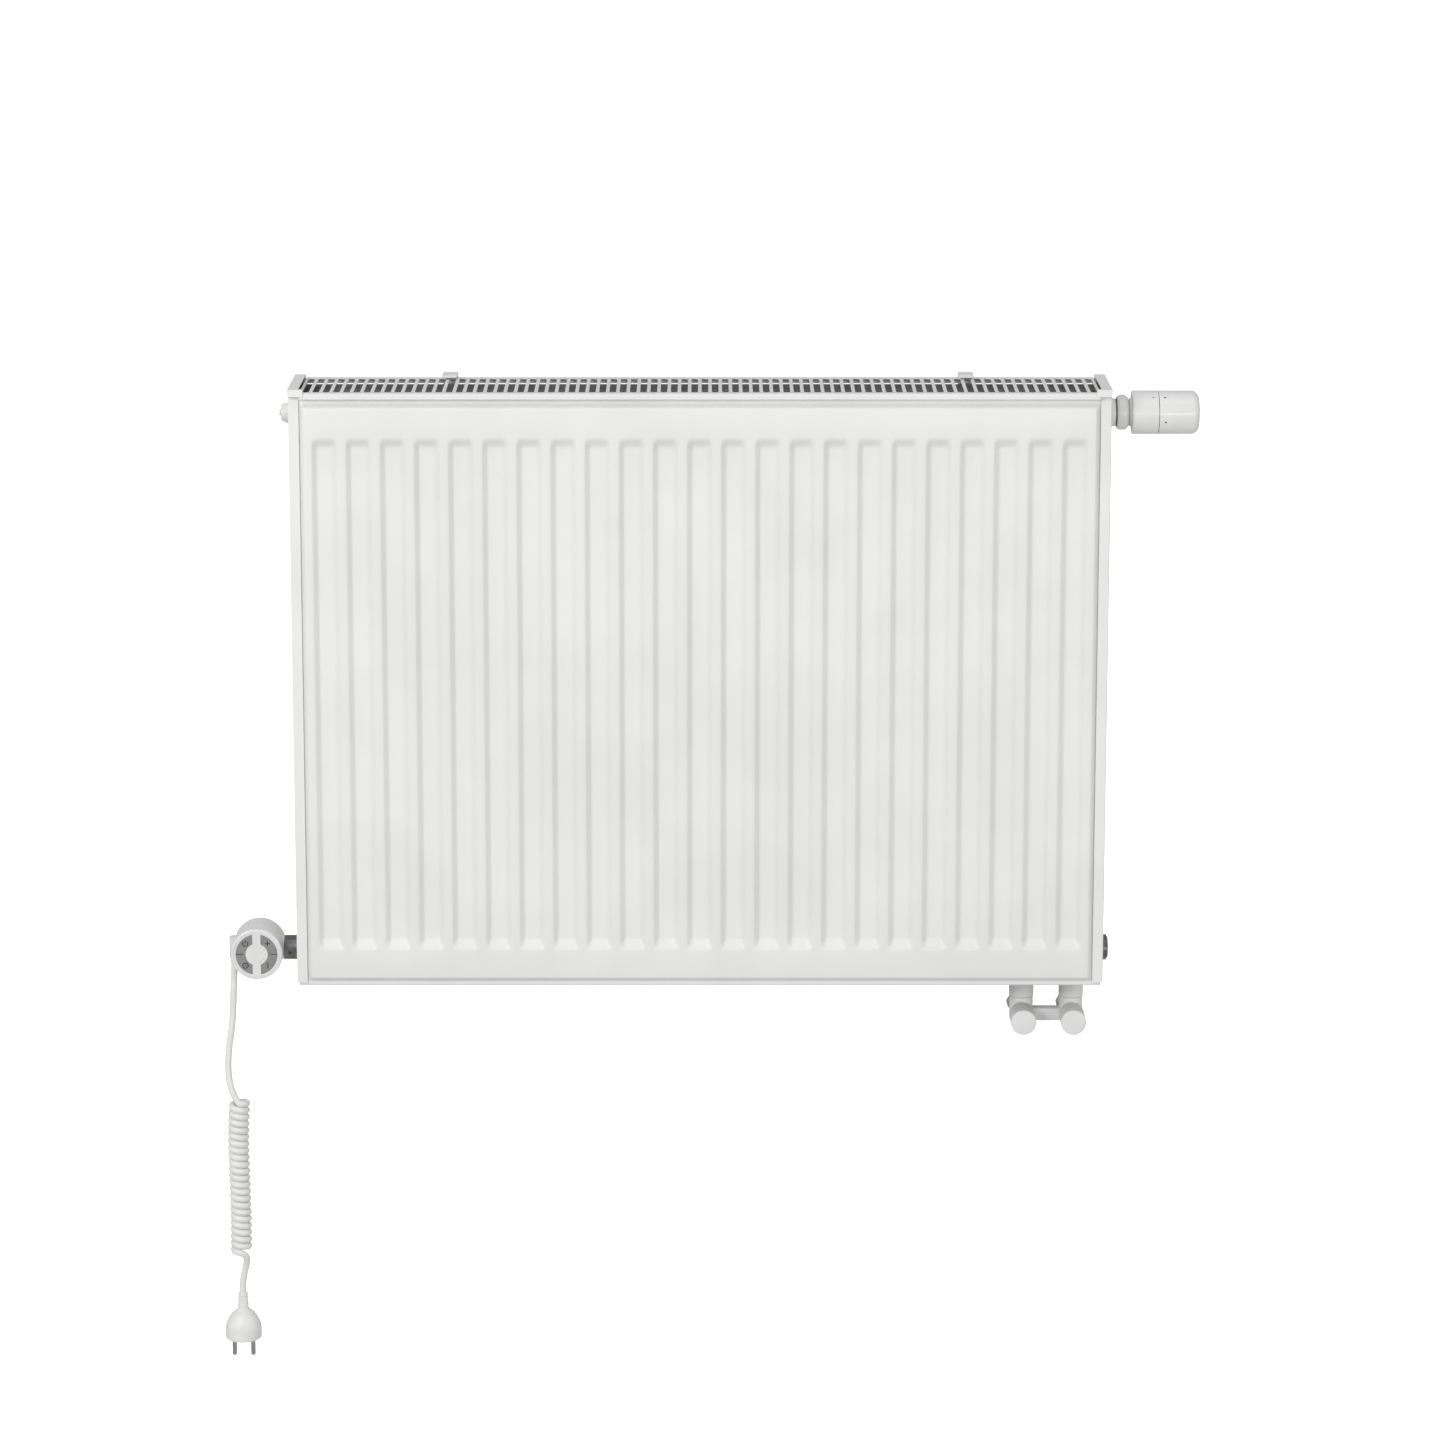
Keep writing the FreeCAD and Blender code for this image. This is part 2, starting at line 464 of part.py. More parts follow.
def top_grille():
    body = doc.addObject("PartDesign::Body", "top_grille")
    half = "(%s - cover_wrap - grille_gap)" % COVER
    tray = body.newObject("PartDesign::AdditiveBox", "grille_tray")
    bind(tray, Length="2*%s" % half, Width="depth", Height="grille_rise")
    tray.setExpression("Placement.Base.x", formula("-" + half))
    hollow = body.newObject("PartDesign::SubtractiveBox", "grille_hollow")
    bind(hollow, Length="2*(%s - grille_sheet)" % half, Width="depth - 2*grille_sheet",
         Height="grille_rise - grille_sheet")
    hollow.setExpression("Placement.Base.x", formula("-%s + grille_sheet" % half))
    hollow.setExpression("Placement.Base.y", formula("grille_sheet"))
    sketch = body.newObject("Sketcher::SketchObject", "grille_slot_outline")
    sketch.AttachmentSupport = (origin_feature(body, "XY_Plane"), [""])
    sketch.MapMode = "FlatFace"
    far, near, normal = Vector(5, 90, 0), Vector(5, 10, 0), Vector(0, 0, 1)
    sketch.addGeometry(Part.ArcOfCircle(Part.Circle(far, normal, 3), 0, math.pi))
    sketch.addGeometry(Part.LineSegment(Vector(2, 90, 0), Vector(2, 10, 0)))
    sketch.addGeometry(Part.ArcOfCircle(Part.Circle(near, normal, 3), math.pi, 2*math.pi))
    sketch.addGeometry(Part.LineSegment(Vector(8, 10, 0), Vector(8, 90, 0)))
    for side in range(4):
        sketch.addConstraint(Sketcher.Constraint("Tangent", side, 2, (side + 1) % 4, 1))
    count = "floor((2*%s - grille_sheet)/slot_pitch)" % half
    rounded = "(slot_margin + slot_width/2)"
    first = "(-slot_pitch*(%s - 1)/2)" % count
    sketch.addConstraint(Sketcher.Constraint("Equal", 0, 2))
    for kind, arc, start, text in (("DistanceX", 0, 5, first), ("DistanceX", 2, 5, first),
                                   ("DistanceY", 0, 90, "depth - " + rounded), ("DistanceY", 2, 10, rounded)):
        index = sketch.addConstraint(Sketcher.Constraint(kind, arc, 3, start))
        sketch.setExpression("Constraints[%d]" % index, formula(text))
    index = sketch.addConstraint(Sketcher.Constraint("Radius", 0, 3))
    sketch.setExpression("Constraints[%d]" % index, formula("slot_width/2"))
    slot = body.newObject("PartDesign::Pocket", "grille_slot")
    slot.Profile = sketch
    slot.Type = "ThroughAll"
    slot.Midplane = True
    body.Tip = slot
    row_of(body, slot, "slot_pitch", count)
    place(body, "0", "0", PANEL_TOP)
    return node(body, "top_grille")


top_grille()


def side_cover(name, side):
    """A folded channel over the panels' edge, with a front tab beside the grille and two port holes."""
    def across(near, far):
        near, far = "(%d*(%s))" % (side, near), "(%d*(%s))" % (side, far)
        return (near, far) if side > 0 else (far, near)

    top = "(height/2 + cover_rise)"
    bottom = "(-height/2 + cover_bottom_gap)"
    front, back = "cover_front_inset", "(depth - cover_front_inset)"
    channel = block(name + "_channel", across(COVER + " - cover_wrap", COVER), (front, back), (bottom, top))
    hollow = block(name + "_hollow", across("%s - cover_wrap - %d" % (COVER, PAST), COVER + " - cover_sheet"),
                   (front + " + cover_sheet", back + " - cover_sheet"),
                   ("%s - %d" % (bottom, PAST), top + " - cover_sheet"))
    tab = block(name + "_tab", across(COVER + " - tab_width", COVER), ("-tab_proud", front),
                (top + " - tab_height", top))
    tab_room = block(name + "_tab_room",
                     across("%s - tab_width - %d" % (COVER, PAST), COVER + " - cover_sheet"),
                     ("cover_sheet - tab_proud", front + " + cover_sheet"),
                     ("%s - tab_height - %d" % (top, PAST), top + " - cover_sheet"))
    into = "-X" if side > 0 else "+X"
    holes = []
    for port, z, radius in (("upper", HUB, "vent_hole_radius" if side < 0 else PORT_HOLE),
                            ("lower", "(-%s)" % HUB, PORT_HOLE)):
        holes.append(rod("%s_%s_hole" % (name, port), into,
                         ("(%d*(%s + %d))" % (side, COVER, PAST), MIDDLE, z), radius,
                         "cover_sheet + 2*%d" % PAST))
    return node(cut(name, fuse(name + "_sheet", channel, tab), hollow, tab_room, *holes), name)


side_cover("side_cover_left", -1)
side_cover("side_cover_right", 1)


# ---- thermostatic valve, turned about X from the right side cover ----

VALVE = (COVER, MIDDLE, HUB)
THREAD_END = "(valve_thread_start + valve_thread_length)"
SPRING_CAVITY = "(spring_radius + spring_room)"
SPINDLE_BORE = "(spindle_radius + run_clearance)"
node(turned("valve_insert_body", "+X", VALVE, [
    (SPINDLE_BORE, THREAD_START), ("thread_radius", THREAD_START), ("thread_radius", "valve_thread_start"),
    ("valve_thread_radius", "valve_thread_start"), ("valve_thread_radius", THREAD_END),
    (SPRING_CAVITY, THREAD_END), (SPRING_CAVITY, "insert_floor"), (SPINDLE_BORE, "insert_floor")]),
    "valve_insert_body")
ROSETTE_BORE = "(thread_radius + rosette_gap)"
ROSETTE_RADIUS = "(thread_radius + rosette_step)"
ROSETTE_END = "(seat_gap + rosette_length)"
node(turned("valve_rosette", "+X", VALVE, [
    (ROSETTE_BORE, "seat_gap"), (ROSETTE_RADIUS, "seat_gap"), (ROSETTE_RADIUS, ROSETTE_END),
    (ROSETTE_BORE, ROSETTE_END)], round_top="rosette_rounding"), "valve_rosette")
NUT_BORE = "(valve_thread_radius + run_clearance)"
NUT_LIP_BORE = "(stem_radius + run_clearance)"
NUT_LIP = "(%s - nut_lip)" % NUT_END
node(turned("trv_union_nut", "+X", VALVE, [
    (NUT_BORE, NUT_START), ("nut_radius", NUT_START), ("nut_radius", NUT_END), (NUT_LIP_BORE, NUT_END),
    (NUT_LIP_BORE, NUT_LIP), (NUT_BORE, NUT_LIP)],
    round_top="nut_rounding", round_bottom="nut_back_rounding"), "trv_union_nut")
COLLAR_START = "(%s + collar_gap)" % THREAD_END
COLLAR_END = "(%s - turn_gap)" % NUT_LIP
COLLAR = "(valve_thread_radius - seat_gap)"
NECK_START = "(%s + turn_gap)" % NUT_END
SHELL_END = "(%s + sleeve_length)" % SLEEVE_START
SHELL_FLOOR = "(%s + shell_wall)" % SLEEVE_START
SHELL_INSIDE = "(sleeve_radius - shell_wall)"
HUB_END = "(%s + hub_length)" % SHELL_FLOOR
CAPSULE_BORE = "(capsule_radius + run_clearance)"
node(turned("trv_base_sleeve", "+X", VALVE, [
    ("pin_way_radius", COLLAR_START), (COLLAR, COLLAR_START), (COLLAR, COLLAR_END),
    ("stem_radius", COLLAR_END), ("stem_radius", NECK_START), ("neck_radius", NECK_START),
    ("neck_radius", SLEEVE_START), ("sleeve_radius", SLEEVE_START), ("sleeve_radius", SHELL_END),
    (SHELL_INSIDE, SHELL_END), (SHELL_INSIDE, SHELL_FLOOR), ("stem_radius", SHELL_FLOOR),
    ("stem_radius", HUB_END), (CAPSULE_BORE, HUB_END), (CAPSULE_BORE, SHELL_FLOOR),
    ("pin_way_radius", SHELL_FLOOR)]), "trv_base_sleeve")
KNOB_END = "(%s + knob_length)" % KNOB_START
KNOB_FLOOR = "(%s - knob_cap)" % KNOB_END
KNOB_HUB_START = "(%s + knob_hub_inset)" % KNOB_START
KNOB_HUB_BORE = "(stem_radius + run_clearance)"
KNOB_HUB = "(stem_radius + knob_hub_wall)"
KNOB_INSIDE = "(knob_radius - shell_wall)"
node(turned("trv_knob", "+X", VALVE, [
    (KNOB_HUB_BORE, KNOB_HUB_START), (KNOB_HUB, KNOB_HUB_START), (KNOB_HUB, KNOB_FLOOR),
    (KNOB_INSIDE + " - knob_bevel", KNOB_FLOOR), (KNOB_INSIDE, KNOB_FLOOR + " - knob_bevel"),
    (KNOB_INSIDE, KNOB_START), ("knob_radius", KNOB_START), ("knob_radius", KNOB_END), ("0", KNOB_END),
    ("0", KNOB_FLOOR), (KNOB_HUB_BORE, KNOB_FLOOR)], round_top="knob_rounding"), "trv_knob")
CAPSULE_START = "(%s + capsule_inset)" % KNOB_START
CAPSULE_END = "(%s + capsule_length)" % CAPSULE_START
node(turned("trv_sensor_capsule", "+X", VALVE, [
    ("0", CAPSULE_START), ("capsule_radius", CAPSULE_START),
    ("capsule_radius", CAPSULE_END + " - capsule_bevel"), ("capsule_radius - capsule_bevel", CAPSULE_END),
    ("0", CAPSULE_END)]), "trv_sensor_capsule")
PIN_START = "(%s + pin_inset)" % THREAD_END
node(turned("trv_push_pin", "+X", VALVE, [
    ("0", PIN_START), ("pin_radius", PIN_START), ("pin_radius", CAPSULE_START), ("0", CAPSULE_START)]),
    "trv_push_pin")
CLIP_START = "(insert_floor + insert_spring_length + spindle_travel)"
CONE_END = "(-thread_depth - cone_gap)"
CONE_MIDDLE = "(%s - cone_taper)" % CONE_END
CONE_START = "(%s - cone_face)" % CONE_MIDDLE
CONE_RADIUS = "(water_bore - cone_clearance)"
node(turned("valve_spindle", "+X", VALVE, [
    ("0", CONE_START), (CONE_RADIUS, CONE_START), (CONE_RADIUS, CONE_MIDDLE),
    ("spindle_radius + cone_neck", CONE_END), ("spindle_radius", CONE_END), ("spindle_radius", CLIP_START),
    ("spindle_clip_radius", CLIP_START), ("spindle_clip_radius", CLIP_START + " + spindle_clip"),
    ("spindle_radius", CLIP_START + " + spindle_clip"), ("spindle_radius", PIN_START), ("0", PIN_START)]),
    "valve_spindle")
node(spring("valve_spring", ("(%s + insert_floor)" % COVER, MIDDLE, HUB), "spring_radius", "spring_wire/2",
            "insert_spring_pitch", "insert_spring_length", axis="+X"), "valve_spring")
node(spring("trv_overtravel_spring", ("(%s + %s + spring_gap)" % (COVER, HUB_END), MIDDLE, HUB),
            "overtravel_radius", "spring_wire/2", "overtravel_pitch",
            "(%s - %s - 1.5*spring_gap)" % (KNOB_FLOOR, HUB_END), axis="+X"), "trv_overtravel_spring")


# ---- vent plug and blanking plug ----

def plug_thread():
    """The threaded part that both plugs share, with a seal groove near the tee's mouth."""
    return [("thread_radius", THREAD_START), ("thread_radius", "-seal_place"),
            ("thread_radius - seal_groove_depth", "-seal_place"),
            ("thread_radius - seal_groove_depth", "-seal_place + seal_groove"),
            ("thread_radius", "-seal_place + seal_groove")]


VENT = ("(-%s)" % COVER, MIDDLE, HUB)
VENT_BORE = "(vent_screw_radius + run_clearance)"
VENT_SHOULDER = "(vent_hole_radius - seat_gap)"
RING_BORE = "(vent_boss_radius + run_clearance)"
RING_END = "(turn_gap + vent_ring_length)"
RING_STEP = "(%s - vent_face_length)" % RING_END
VENT_FACE = "(vent_ring_radius - vent_face_step)"
node(turned("vent_plug_body", "-X", VENT, [(VENT_BORE, THREAD_START)] + plug_thread() + [
    ("thread_radius", "-vent_flange_inset"), (VENT_SHOULDER, "-vent_flange_inset"),
    (VENT_SHOULDER, "seat_gap/2"),
    ("vent_boss_radius", "seat_gap/2"), ("vent_boss_radius", RING_END + " - 2*seat_gap"),
    (VENT_BORE, RING_END + " - 2*seat_gap")]), "vent_plug_body")
vent_ring = turned("vent_ring_disc", "-X", VENT, [
    (RING_BORE, "turn_gap"), ("vent_ring_radius", "turn_gap"),
    ("vent_ring_radius", RING_STEP + " - 2*seat_gap"), (VENT_FACE, RING_STEP), (VENT_FACE, RING_END),
    (RING_BORE, RING_END)], round_top="vent_rounding")
nozzle_at = ("(-%s - nozzle_place)" % COVER, MIDDLE, "(%s - vent_boss_radius - nozzle_radius)" % HUB)
node(cut("vent_outlet_ring",
         fuse("vent_ring_body", vent_ring, rod("vent_nozzle", "-Z", nozzle_at, "nozzle_radius",
                                               "vent_ring_radius - vent_boss_radius - nozzle_radius/4")),
         rod("vent_nozzle_way", "-Z", nozzle_at, "nozzle_bore", "vent_ring_radius")), "vent_outlet_ring")
HEAD_START = "(%s + seat_gap)" % RING_END
HEAD_END = "(%s + vent_head_length)" % HEAD_START
node(cut("vent_screw", turned("vent_screw_turning", "-X", VENT, [
    ("0", "-vent_screw_depth"), ("vent_screw_radius", "-vent_screw_depth"), ("vent_screw_radius", HEAD_START),
    ("vent_head_radius", HEAD_START), ("vent_head_radius", HEAD_END), ("0", HEAD_END)]),
    block("vent_screw_slot", ("-%s - %s - seat_gap" % (COVER, HEAD_END),
                              "-%s - %s + vent_slot_depth" % (COVER, HEAD_END)),
          (MIDDLE + " - vent_boss_radius", MIDDLE + " + vent_boss_radius"),
          (HUB + " - vent_slot_width/2", HUB + " + vent_slot_width/2"))), "vent_screw")

BLANK = (COVER, MIDDLE, "(-%s)" % HUB)
HEX_START = "(seat_gap + blank_flange)"
BOSS_START = "(%s + blank_hex)" % HEX_START
BOSS_END = "(%s + blank_boss)" % BOSS_START
HEX_CORE = "(%s - blank_hex_step)" % BLANK_RADIUS
blank_turning = turned("blank_turning", "+X", BLANK, [("0", THREAD_START)] + plug_thread() + [
    ("thread_radius", "seat_gap"), (BLANK_RADIUS, "seat_gap"), (BLANK_RADIUS, HEX_START),
    (HEX_CORE, HEX_START), (HEX_CORE, BOSS_START), ("blank_boss_radius", BOSS_START),
    ("blank_boss_radius", BOSS_END + " - blank_bevel"), ("blank_boss_radius - blank_bevel", BOSS_END),
    ("0", BOSS_END)])
blank_hexagon = hexagon("blank_hexagon", "+X", ("(%s + %s)" % (COVER, HEX_START),) + BLANK[1:],
                        BLANK_RADIUS, "blank_hex")
node(cut("blanking_plug", fuse("blank_body", blank_turning, blank_hexagon),
         hexagon("blank_socket", "-X", ("(%s + %s)" % (COVER, BOSS_END),) + BLANK[1:], "socket_radius",
                 "socket_depth")), "blanking_plug")


def seal_ring(name, side, end):
    ring = doc.addObject("Part::Torus", name)
    bind(ring, Radius1="thread_radius - seal_groove_depth/2",
         Radius2="seal_groove_depth/2 - thread_clearance/2")
    place(ring, "(%d*(%s - seal_place + seal_groove/2))" % (side, COVER), MIDDLE, "(%d*%s)" % (end, HUB),
          AXES["+X"])
    return ring


seals = doc.addObject("Part::Compound", "plug_seals")
seals.Links = [seal_ring("vent_seal", -1, 1), seal_ring("blank_seal", 1, -1)]
node(seals, "plug_seals")


# ---- electric heating element, turned about X from the left side cover ----

HEATER = ("(-%s)" % COVER, MIDDLE, "(-%s)" % HUB)
ROD_BORE = "(rod_radius + run_clearance)"
RIB_FLOOR = "(%s - rib_depth)" % COLLAR_RADIUS
GROOVES = 4
ribs = []
for groove in reversed(range(GROOVES)):
    groove_end = "(%s - rib_margin - %d*rib_pitch)" % (COLLAR_FACE, groove)
    groove_start = "(%s - rib_gap)" % groove_end
    ribs += [(COLLAR_RADIUS, groove_start), (RIB_FLOOR, groove_start), (RIB_FLOOR, groove_end),
             (COLLAR_RADIUS, groove_end)]
collar = turned("collar_turning", "-X", HEATER, [
    (ROD_BORE, THREAD_START), ("thread_radius", THREAD_START), ("thread_radius", "seat_gap"),
    (COLLAR_RADIUS, "seat_gap")] + ribs + [(COLLAR_RADIUS, COLLAR_FACE), (ROD_BORE, COLLAR_FACE)])
# The set screw points at the rod from the front, a little below the middle.
SCREW_TURN = Rotation(Vector(0, 0, 1), Vector(0, -1, -0.18))
SCREW_AT = ("(-%s - set_screw_place)" % COVER, MIDDLE, "(-%s)" % HUB)
SCREW_TOP = "(%s - set_screw_inset)" % COLLAR_RADIUS


def across_collar(item):
    """Turn a piece made at the set screw's place to the screw's direction."""
    place(item, *SCREW_AT, turn=SCREW_TURN)
    return item


node(cut("heater_collar", collar,
         across_collar(rod("set_screw_bore", "-Y", SCREW_AT, "set_screw_radius + run_clearance",
                           "2*" + COLLAR_RADIUS))), "heater_collar")
set_screw = across_collar(turned("set_screw_turning", "-Y", SCREW_AT, [
    ("0", "rod_radius + collar_gap"), ("set_screw_radius", "rod_radius + collar_gap"),
    ("set_screw_radius", SCREW_TOP), ("0", SCREW_TOP)]))
socket = across_collar(hexagon("set_screw_socket", "-Y", SCREW_AT, "drive_radius", "2*" + COLLAR_RADIUS))
core = across_collar(rod("set_screw_core", "-Y", SCREW_AT, "2*drive_radius", SCREW_TOP + " - drive_depth"))
screw_drive = cut("set_screw_drive", socket, core)
node(cut("collar_set_screw", set_screw, screw_drive), "collar_set_screw")
ROD_END = "(%s + rod_reach)" % COLLAR_FACE
node(turned("heater_rod", "-X", HEATER, [
    ("0", "-rod_length"), ("rod_radius - rod_bevel", "-rod_length"),
    ("rod_radius", "-rod_length + rod_bevel"),
    ("rod_radius", ROD_END), ("0", ROD_END)]), "heater_rod")

DRUM_AT = (DRUM, "drum_front", "(-%s)" % HUB)
INSIDE = "(drum_radius - drum_wall)"
DRUM_FLOOR = "(drum_length - drum_wall)"
drum = turned("drum_turning", "+Y", DRUM_AT, [
    (BEZEL, "0"), ("drum_radius", "0"), ("drum_radius", "drum_length"), ("0", "drum_length"),
    ("0", DRUM_FLOOR), (INSIDE + " - drum_bevel", DRUM_FLOOR), (INSIDE, DRUM_FLOOR + " - drum_bevel"),
    (INSIDE, "bezel_depth + bezel_taper"), (BEZEL, "bezel_depth")],
    round_top="drum_back_rounding", round_bottom="drum_front_rounding")
BOSS_X = "(%s - drum_radius + boss_inset)" % DRUM
BOSS_Z = "(-%s + boss_top)" % HUB
neck_at = ("(-%s - %s - turn_gap)" % (COVER, COLLAR_FACE), MIDDLE, "(-%s)" % HUB)
NECK_LENGTH = "(drum_radius - drum_neck_room)"
housing = fuse("housing_body", drum, rod("housing_neck", "-X", neck_at, "stub_radius", NECK_LENGTH),
               rod("cable_boss", "-Z", (BOSS_X, MIDDLE, BOSS_Z), "boss_radius", "2*boss_top"))
GLAND_TOP = "(-%s - gland_drop + gland_length)" % HUB
node(cut("head_housing", housing,
         rod("neck_way", "-X", neck_at, ROD_BORE, "%s + %d" % (NECK_LENGTH, PAST)),
         rod("gland_seat", "-Z", (BOSS_X, MIDDLE, GLAND_TOP), "gland_radius + run_clearance",
             "gland_length")),
     "head_housing")
node(turned("cable_gland", "-Z", (BOSS_X, MIDDLE, GLAND_TOP), [
    ("lead_radius", "0"), ("gland_radius", "0"), ("gland_radius", "gland_length - gland_taper"),
    ("gland_tip", "gland_length"), ("lead_radius", "gland_length")]), "cable_gland")


def sector(name, right, upper, front, back, grow):
    """A quarter of the keypad ring, cut short by the white bar and by the split at mid-height."""
    at = (DRUM, "(drum_front + %s)" % front, "(-%s)" % HUB)
    length = "%s - %s" % (back, front)
    ring = cut(name + "_ring", rod(name + "_outer", "+Y", at, BUTTON_OUTER + " + " + grow, length),
               rod(name + "_inner", "+Y", at, "button_inner - " + grow, length))
    side, end = (1 if right else -1), (1 if upper else -1)
    x = ["%s + %d*(button_bar/2 - %s)" % (DRUM, side, grow), "%s + %d*drum_radius" % (DRUM, side)]
    z = ["-%s + %d*(button_split/2 - %s)" % (HUB, end, grow), "-%s + %d*drum_radius" % (HUB, end)]
    quarter = block(name + "_quarter", x if right else x[::-1],
                    ("drum_front + %s" % front, "drum_front + %s" % back), z if upper else z[::-1])
    return common(name, ring, quarter)


KEYS = {"button_timer": (False, True), "button_power": (False, False),
        "button_plus": (True, True), "button_minus": (True, False)}
openings = []
for name, (right, upper) in KEYS.items():
    front = "(plate_recess - button_proud)"
    node(sector(name, right, upper, front, "(%s + button_height)" % front, "0"), name)
    openings.append(sector(name + "_opening", right, upper, "0",
                           "(plate_recess + plate_thickness + %d)" % PAST, "button_clearance"))
plate = turned("plate_blank", "+Y", DRUM_AT, [
    ("0", "plate_recess"), (BEZEL + " - plate_clearance", "plate_recess"),
    (BEZEL + " - plate_clearance", "plate_recess + plate_thickness"),
    ("0", "plate_recess + plate_thickness")])
node(cut("keypad_plate", plate, *openings), "keypad_plate")
node(rod("circuit_board", "+Y", (DRUM, "(drum_front + board_depth)", "(-%s)" % HUB),
         INSIDE + " - board_clearance", "board_thickness"), "circuit_board")


# ---- H-valve under the right-hand side ----

UNION_TOP = "(-height/2 - union_top)"
UNION_LENGTH = "(union_bottom - union_top)"
UNION_BORE = "(stub_thread_radius + run_clearance)"
UNION_LIP_BORE = "(water_bore + union_neck_gap)"
UNION_LIP_TOP = "(%s - union_lip)" % UNION_LENGTH
BARREL_TOP = "(-height/2 - union_bottom - union_play)"
BARREL_LENGTH = "(barrel_bottom - union_bottom - union_play)"
STEM_LENGTH = "(union_lip + 2*union_play)"
WAY = "(water_bore - way_wall)"
unions, pipe_nuts, castings, valve_ways = [], [], [], []
for name, x in (("supply", SUPPLY), ("return", RETURN)):
    port_middle = (x, MIDDLE, PORT)
    nut_at = (x, "(nut_front)", PORT)
    unions.append(turned("union_nut_" + name, "-Z", (x, MIDDLE, UNION_TOP), [
        (UNION_BORE, "0"), ("union_radius", "0"), ("union_radius", UNION_LENGTH),
        (UNION_LIP_BORE, UNION_LENGTH), (UNION_LIP_BORE, UNION_LIP_TOP), (UNION_BORE, UNION_LIP_TOP)],
        round_top="union_rounding"))
    castings += [
        turned("h_barrel_" + name, "-Z", (x, MIDDLE, BARREL_TOP), [
            ("0", "0"), ("barrel_radius", "0"), ("barrel_radius", BARREL_LENGTH), ("0", BARREL_LENGTH)],
            round_top="barrel_rounding"),
        rod("h_stem_" + name, "+Z", (x, MIDDLE, BARREL_TOP), "water_bore + stem_wall", STEM_LENGTH),
        rod("h_collar_" + name, "+Z", (x, MIDDLE, "(%s + %s)" % (BARREL_TOP, STEM_LENGTH)),
            "stub_thread_radius - stem_collar_gap", "stem_collar"),
        rod("h_front_stub_" + name, "-Y", port_middle, "stub_thread_radius", "depth/2 - spindle_front"),
        rod("h_rear_stub_" + name, "+Y", port_middle, "stub_thread_radius",
            "nut_back - nut_step - union_play - depth/2"),
    ]
    valve_ways += [
        rod("h_vertical_way_" + name, "+Z", port_middle, WAY, "port_drop"),
        rod("h_spindle_way_" + name, "-Y", port_middle, "shutoff_radius + run_clearance", "depth/2"),
        rod("h_pipe_seat_" + name, "+Y", (x, "(pipe_socket)", PORT), "pipe_radius", "nut_back - pipe_socket"),
        rod("h_rear_way_" + name, "+Y", port_middle, WAY, "nut_back - depth/2"),
    ]
    pipe_nuts.append(cut("pipe_nut_" + name,
                         hexagon("pipe_nut_blank_" + name, "+Y", nut_at, "nut_corner_radius",
                                 "nut_back - nut_front"),
                         rod("pipe_nut_thread_" + name, "+Y", nut_at, UNION_BORE,
                             "nut_back - nut_front - nut_step"),
                         rod("pipe_nut_bore_" + name, "+Y", nut_at, "pipe_radius", "nut_back - nut_front")))
link = block("h_link", (SUPPLY, RETURN), (MIDDLE + " - link_depth/2", MIDDLE + " + link_depth/2"),
             ("-height/2 - link_drop - link_height/2", "-height/2 - link_drop + link_height/2"))
node(cut("h_valve_body", fuse("h_valve_casting", link, *castings), *valve_ways), "h_valve_body")
for name, members in (("union_nuts", unions), ("pipe_nuts", pipe_nuts)):
    group = doc.addObject("Part::Compound", name)
    group.Links = members
    node(group, name)
CAP_LENGTH = "(cap_back - cap_front)"
CAP_INSIDE = "(%s - cap_face)" % CAP_LENGTH
SPINDLE_END = "(depth/2 - spindle_front + spindle_proud)"
for name, x in (("supply", SUPPLY), ("return", RETURN)):
    node(turned("valve_cap_" + name, "-Y", (x, "(cap_back)", PORT), [
        (UNION_BORE, "0"), ("cap_radius", "0"), ("cap_radius", CAP_LENGTH), ("0", CAP_LENGTH),
        ("0", CAP_INSIDE), (UNION_BORE, CAP_INSIDE)], round_top="cap_rounding"), "valve_cap_" + name)
    spindle = turned("shutoff_turning_" + name, "-Y", (x, MIDDLE, PORT), [
        ("0", "-spindle_inset"), ("shutoff_radius", "-spindle_inset"), ("shutoff_radius", SPINDLE_END),
        ("0", SPINDLE_END)])
    slot = block("shutoff_slot_" + name, (x + " - spindle_slot/2", x + " + spindle_slot/2"),
                 ("spindle_front - spindle_inset", "spindle_front - spindle_proud + 2*spindle_slot_depth"),
                 (PORT + " - 2*shutoff_radius", PORT + " + 2*shutoff_radius"))
    node(cut("shutoff_spindle_" + name, spindle, slot), "shutoff_spindle_" + name)


# ---- wall brackets ----

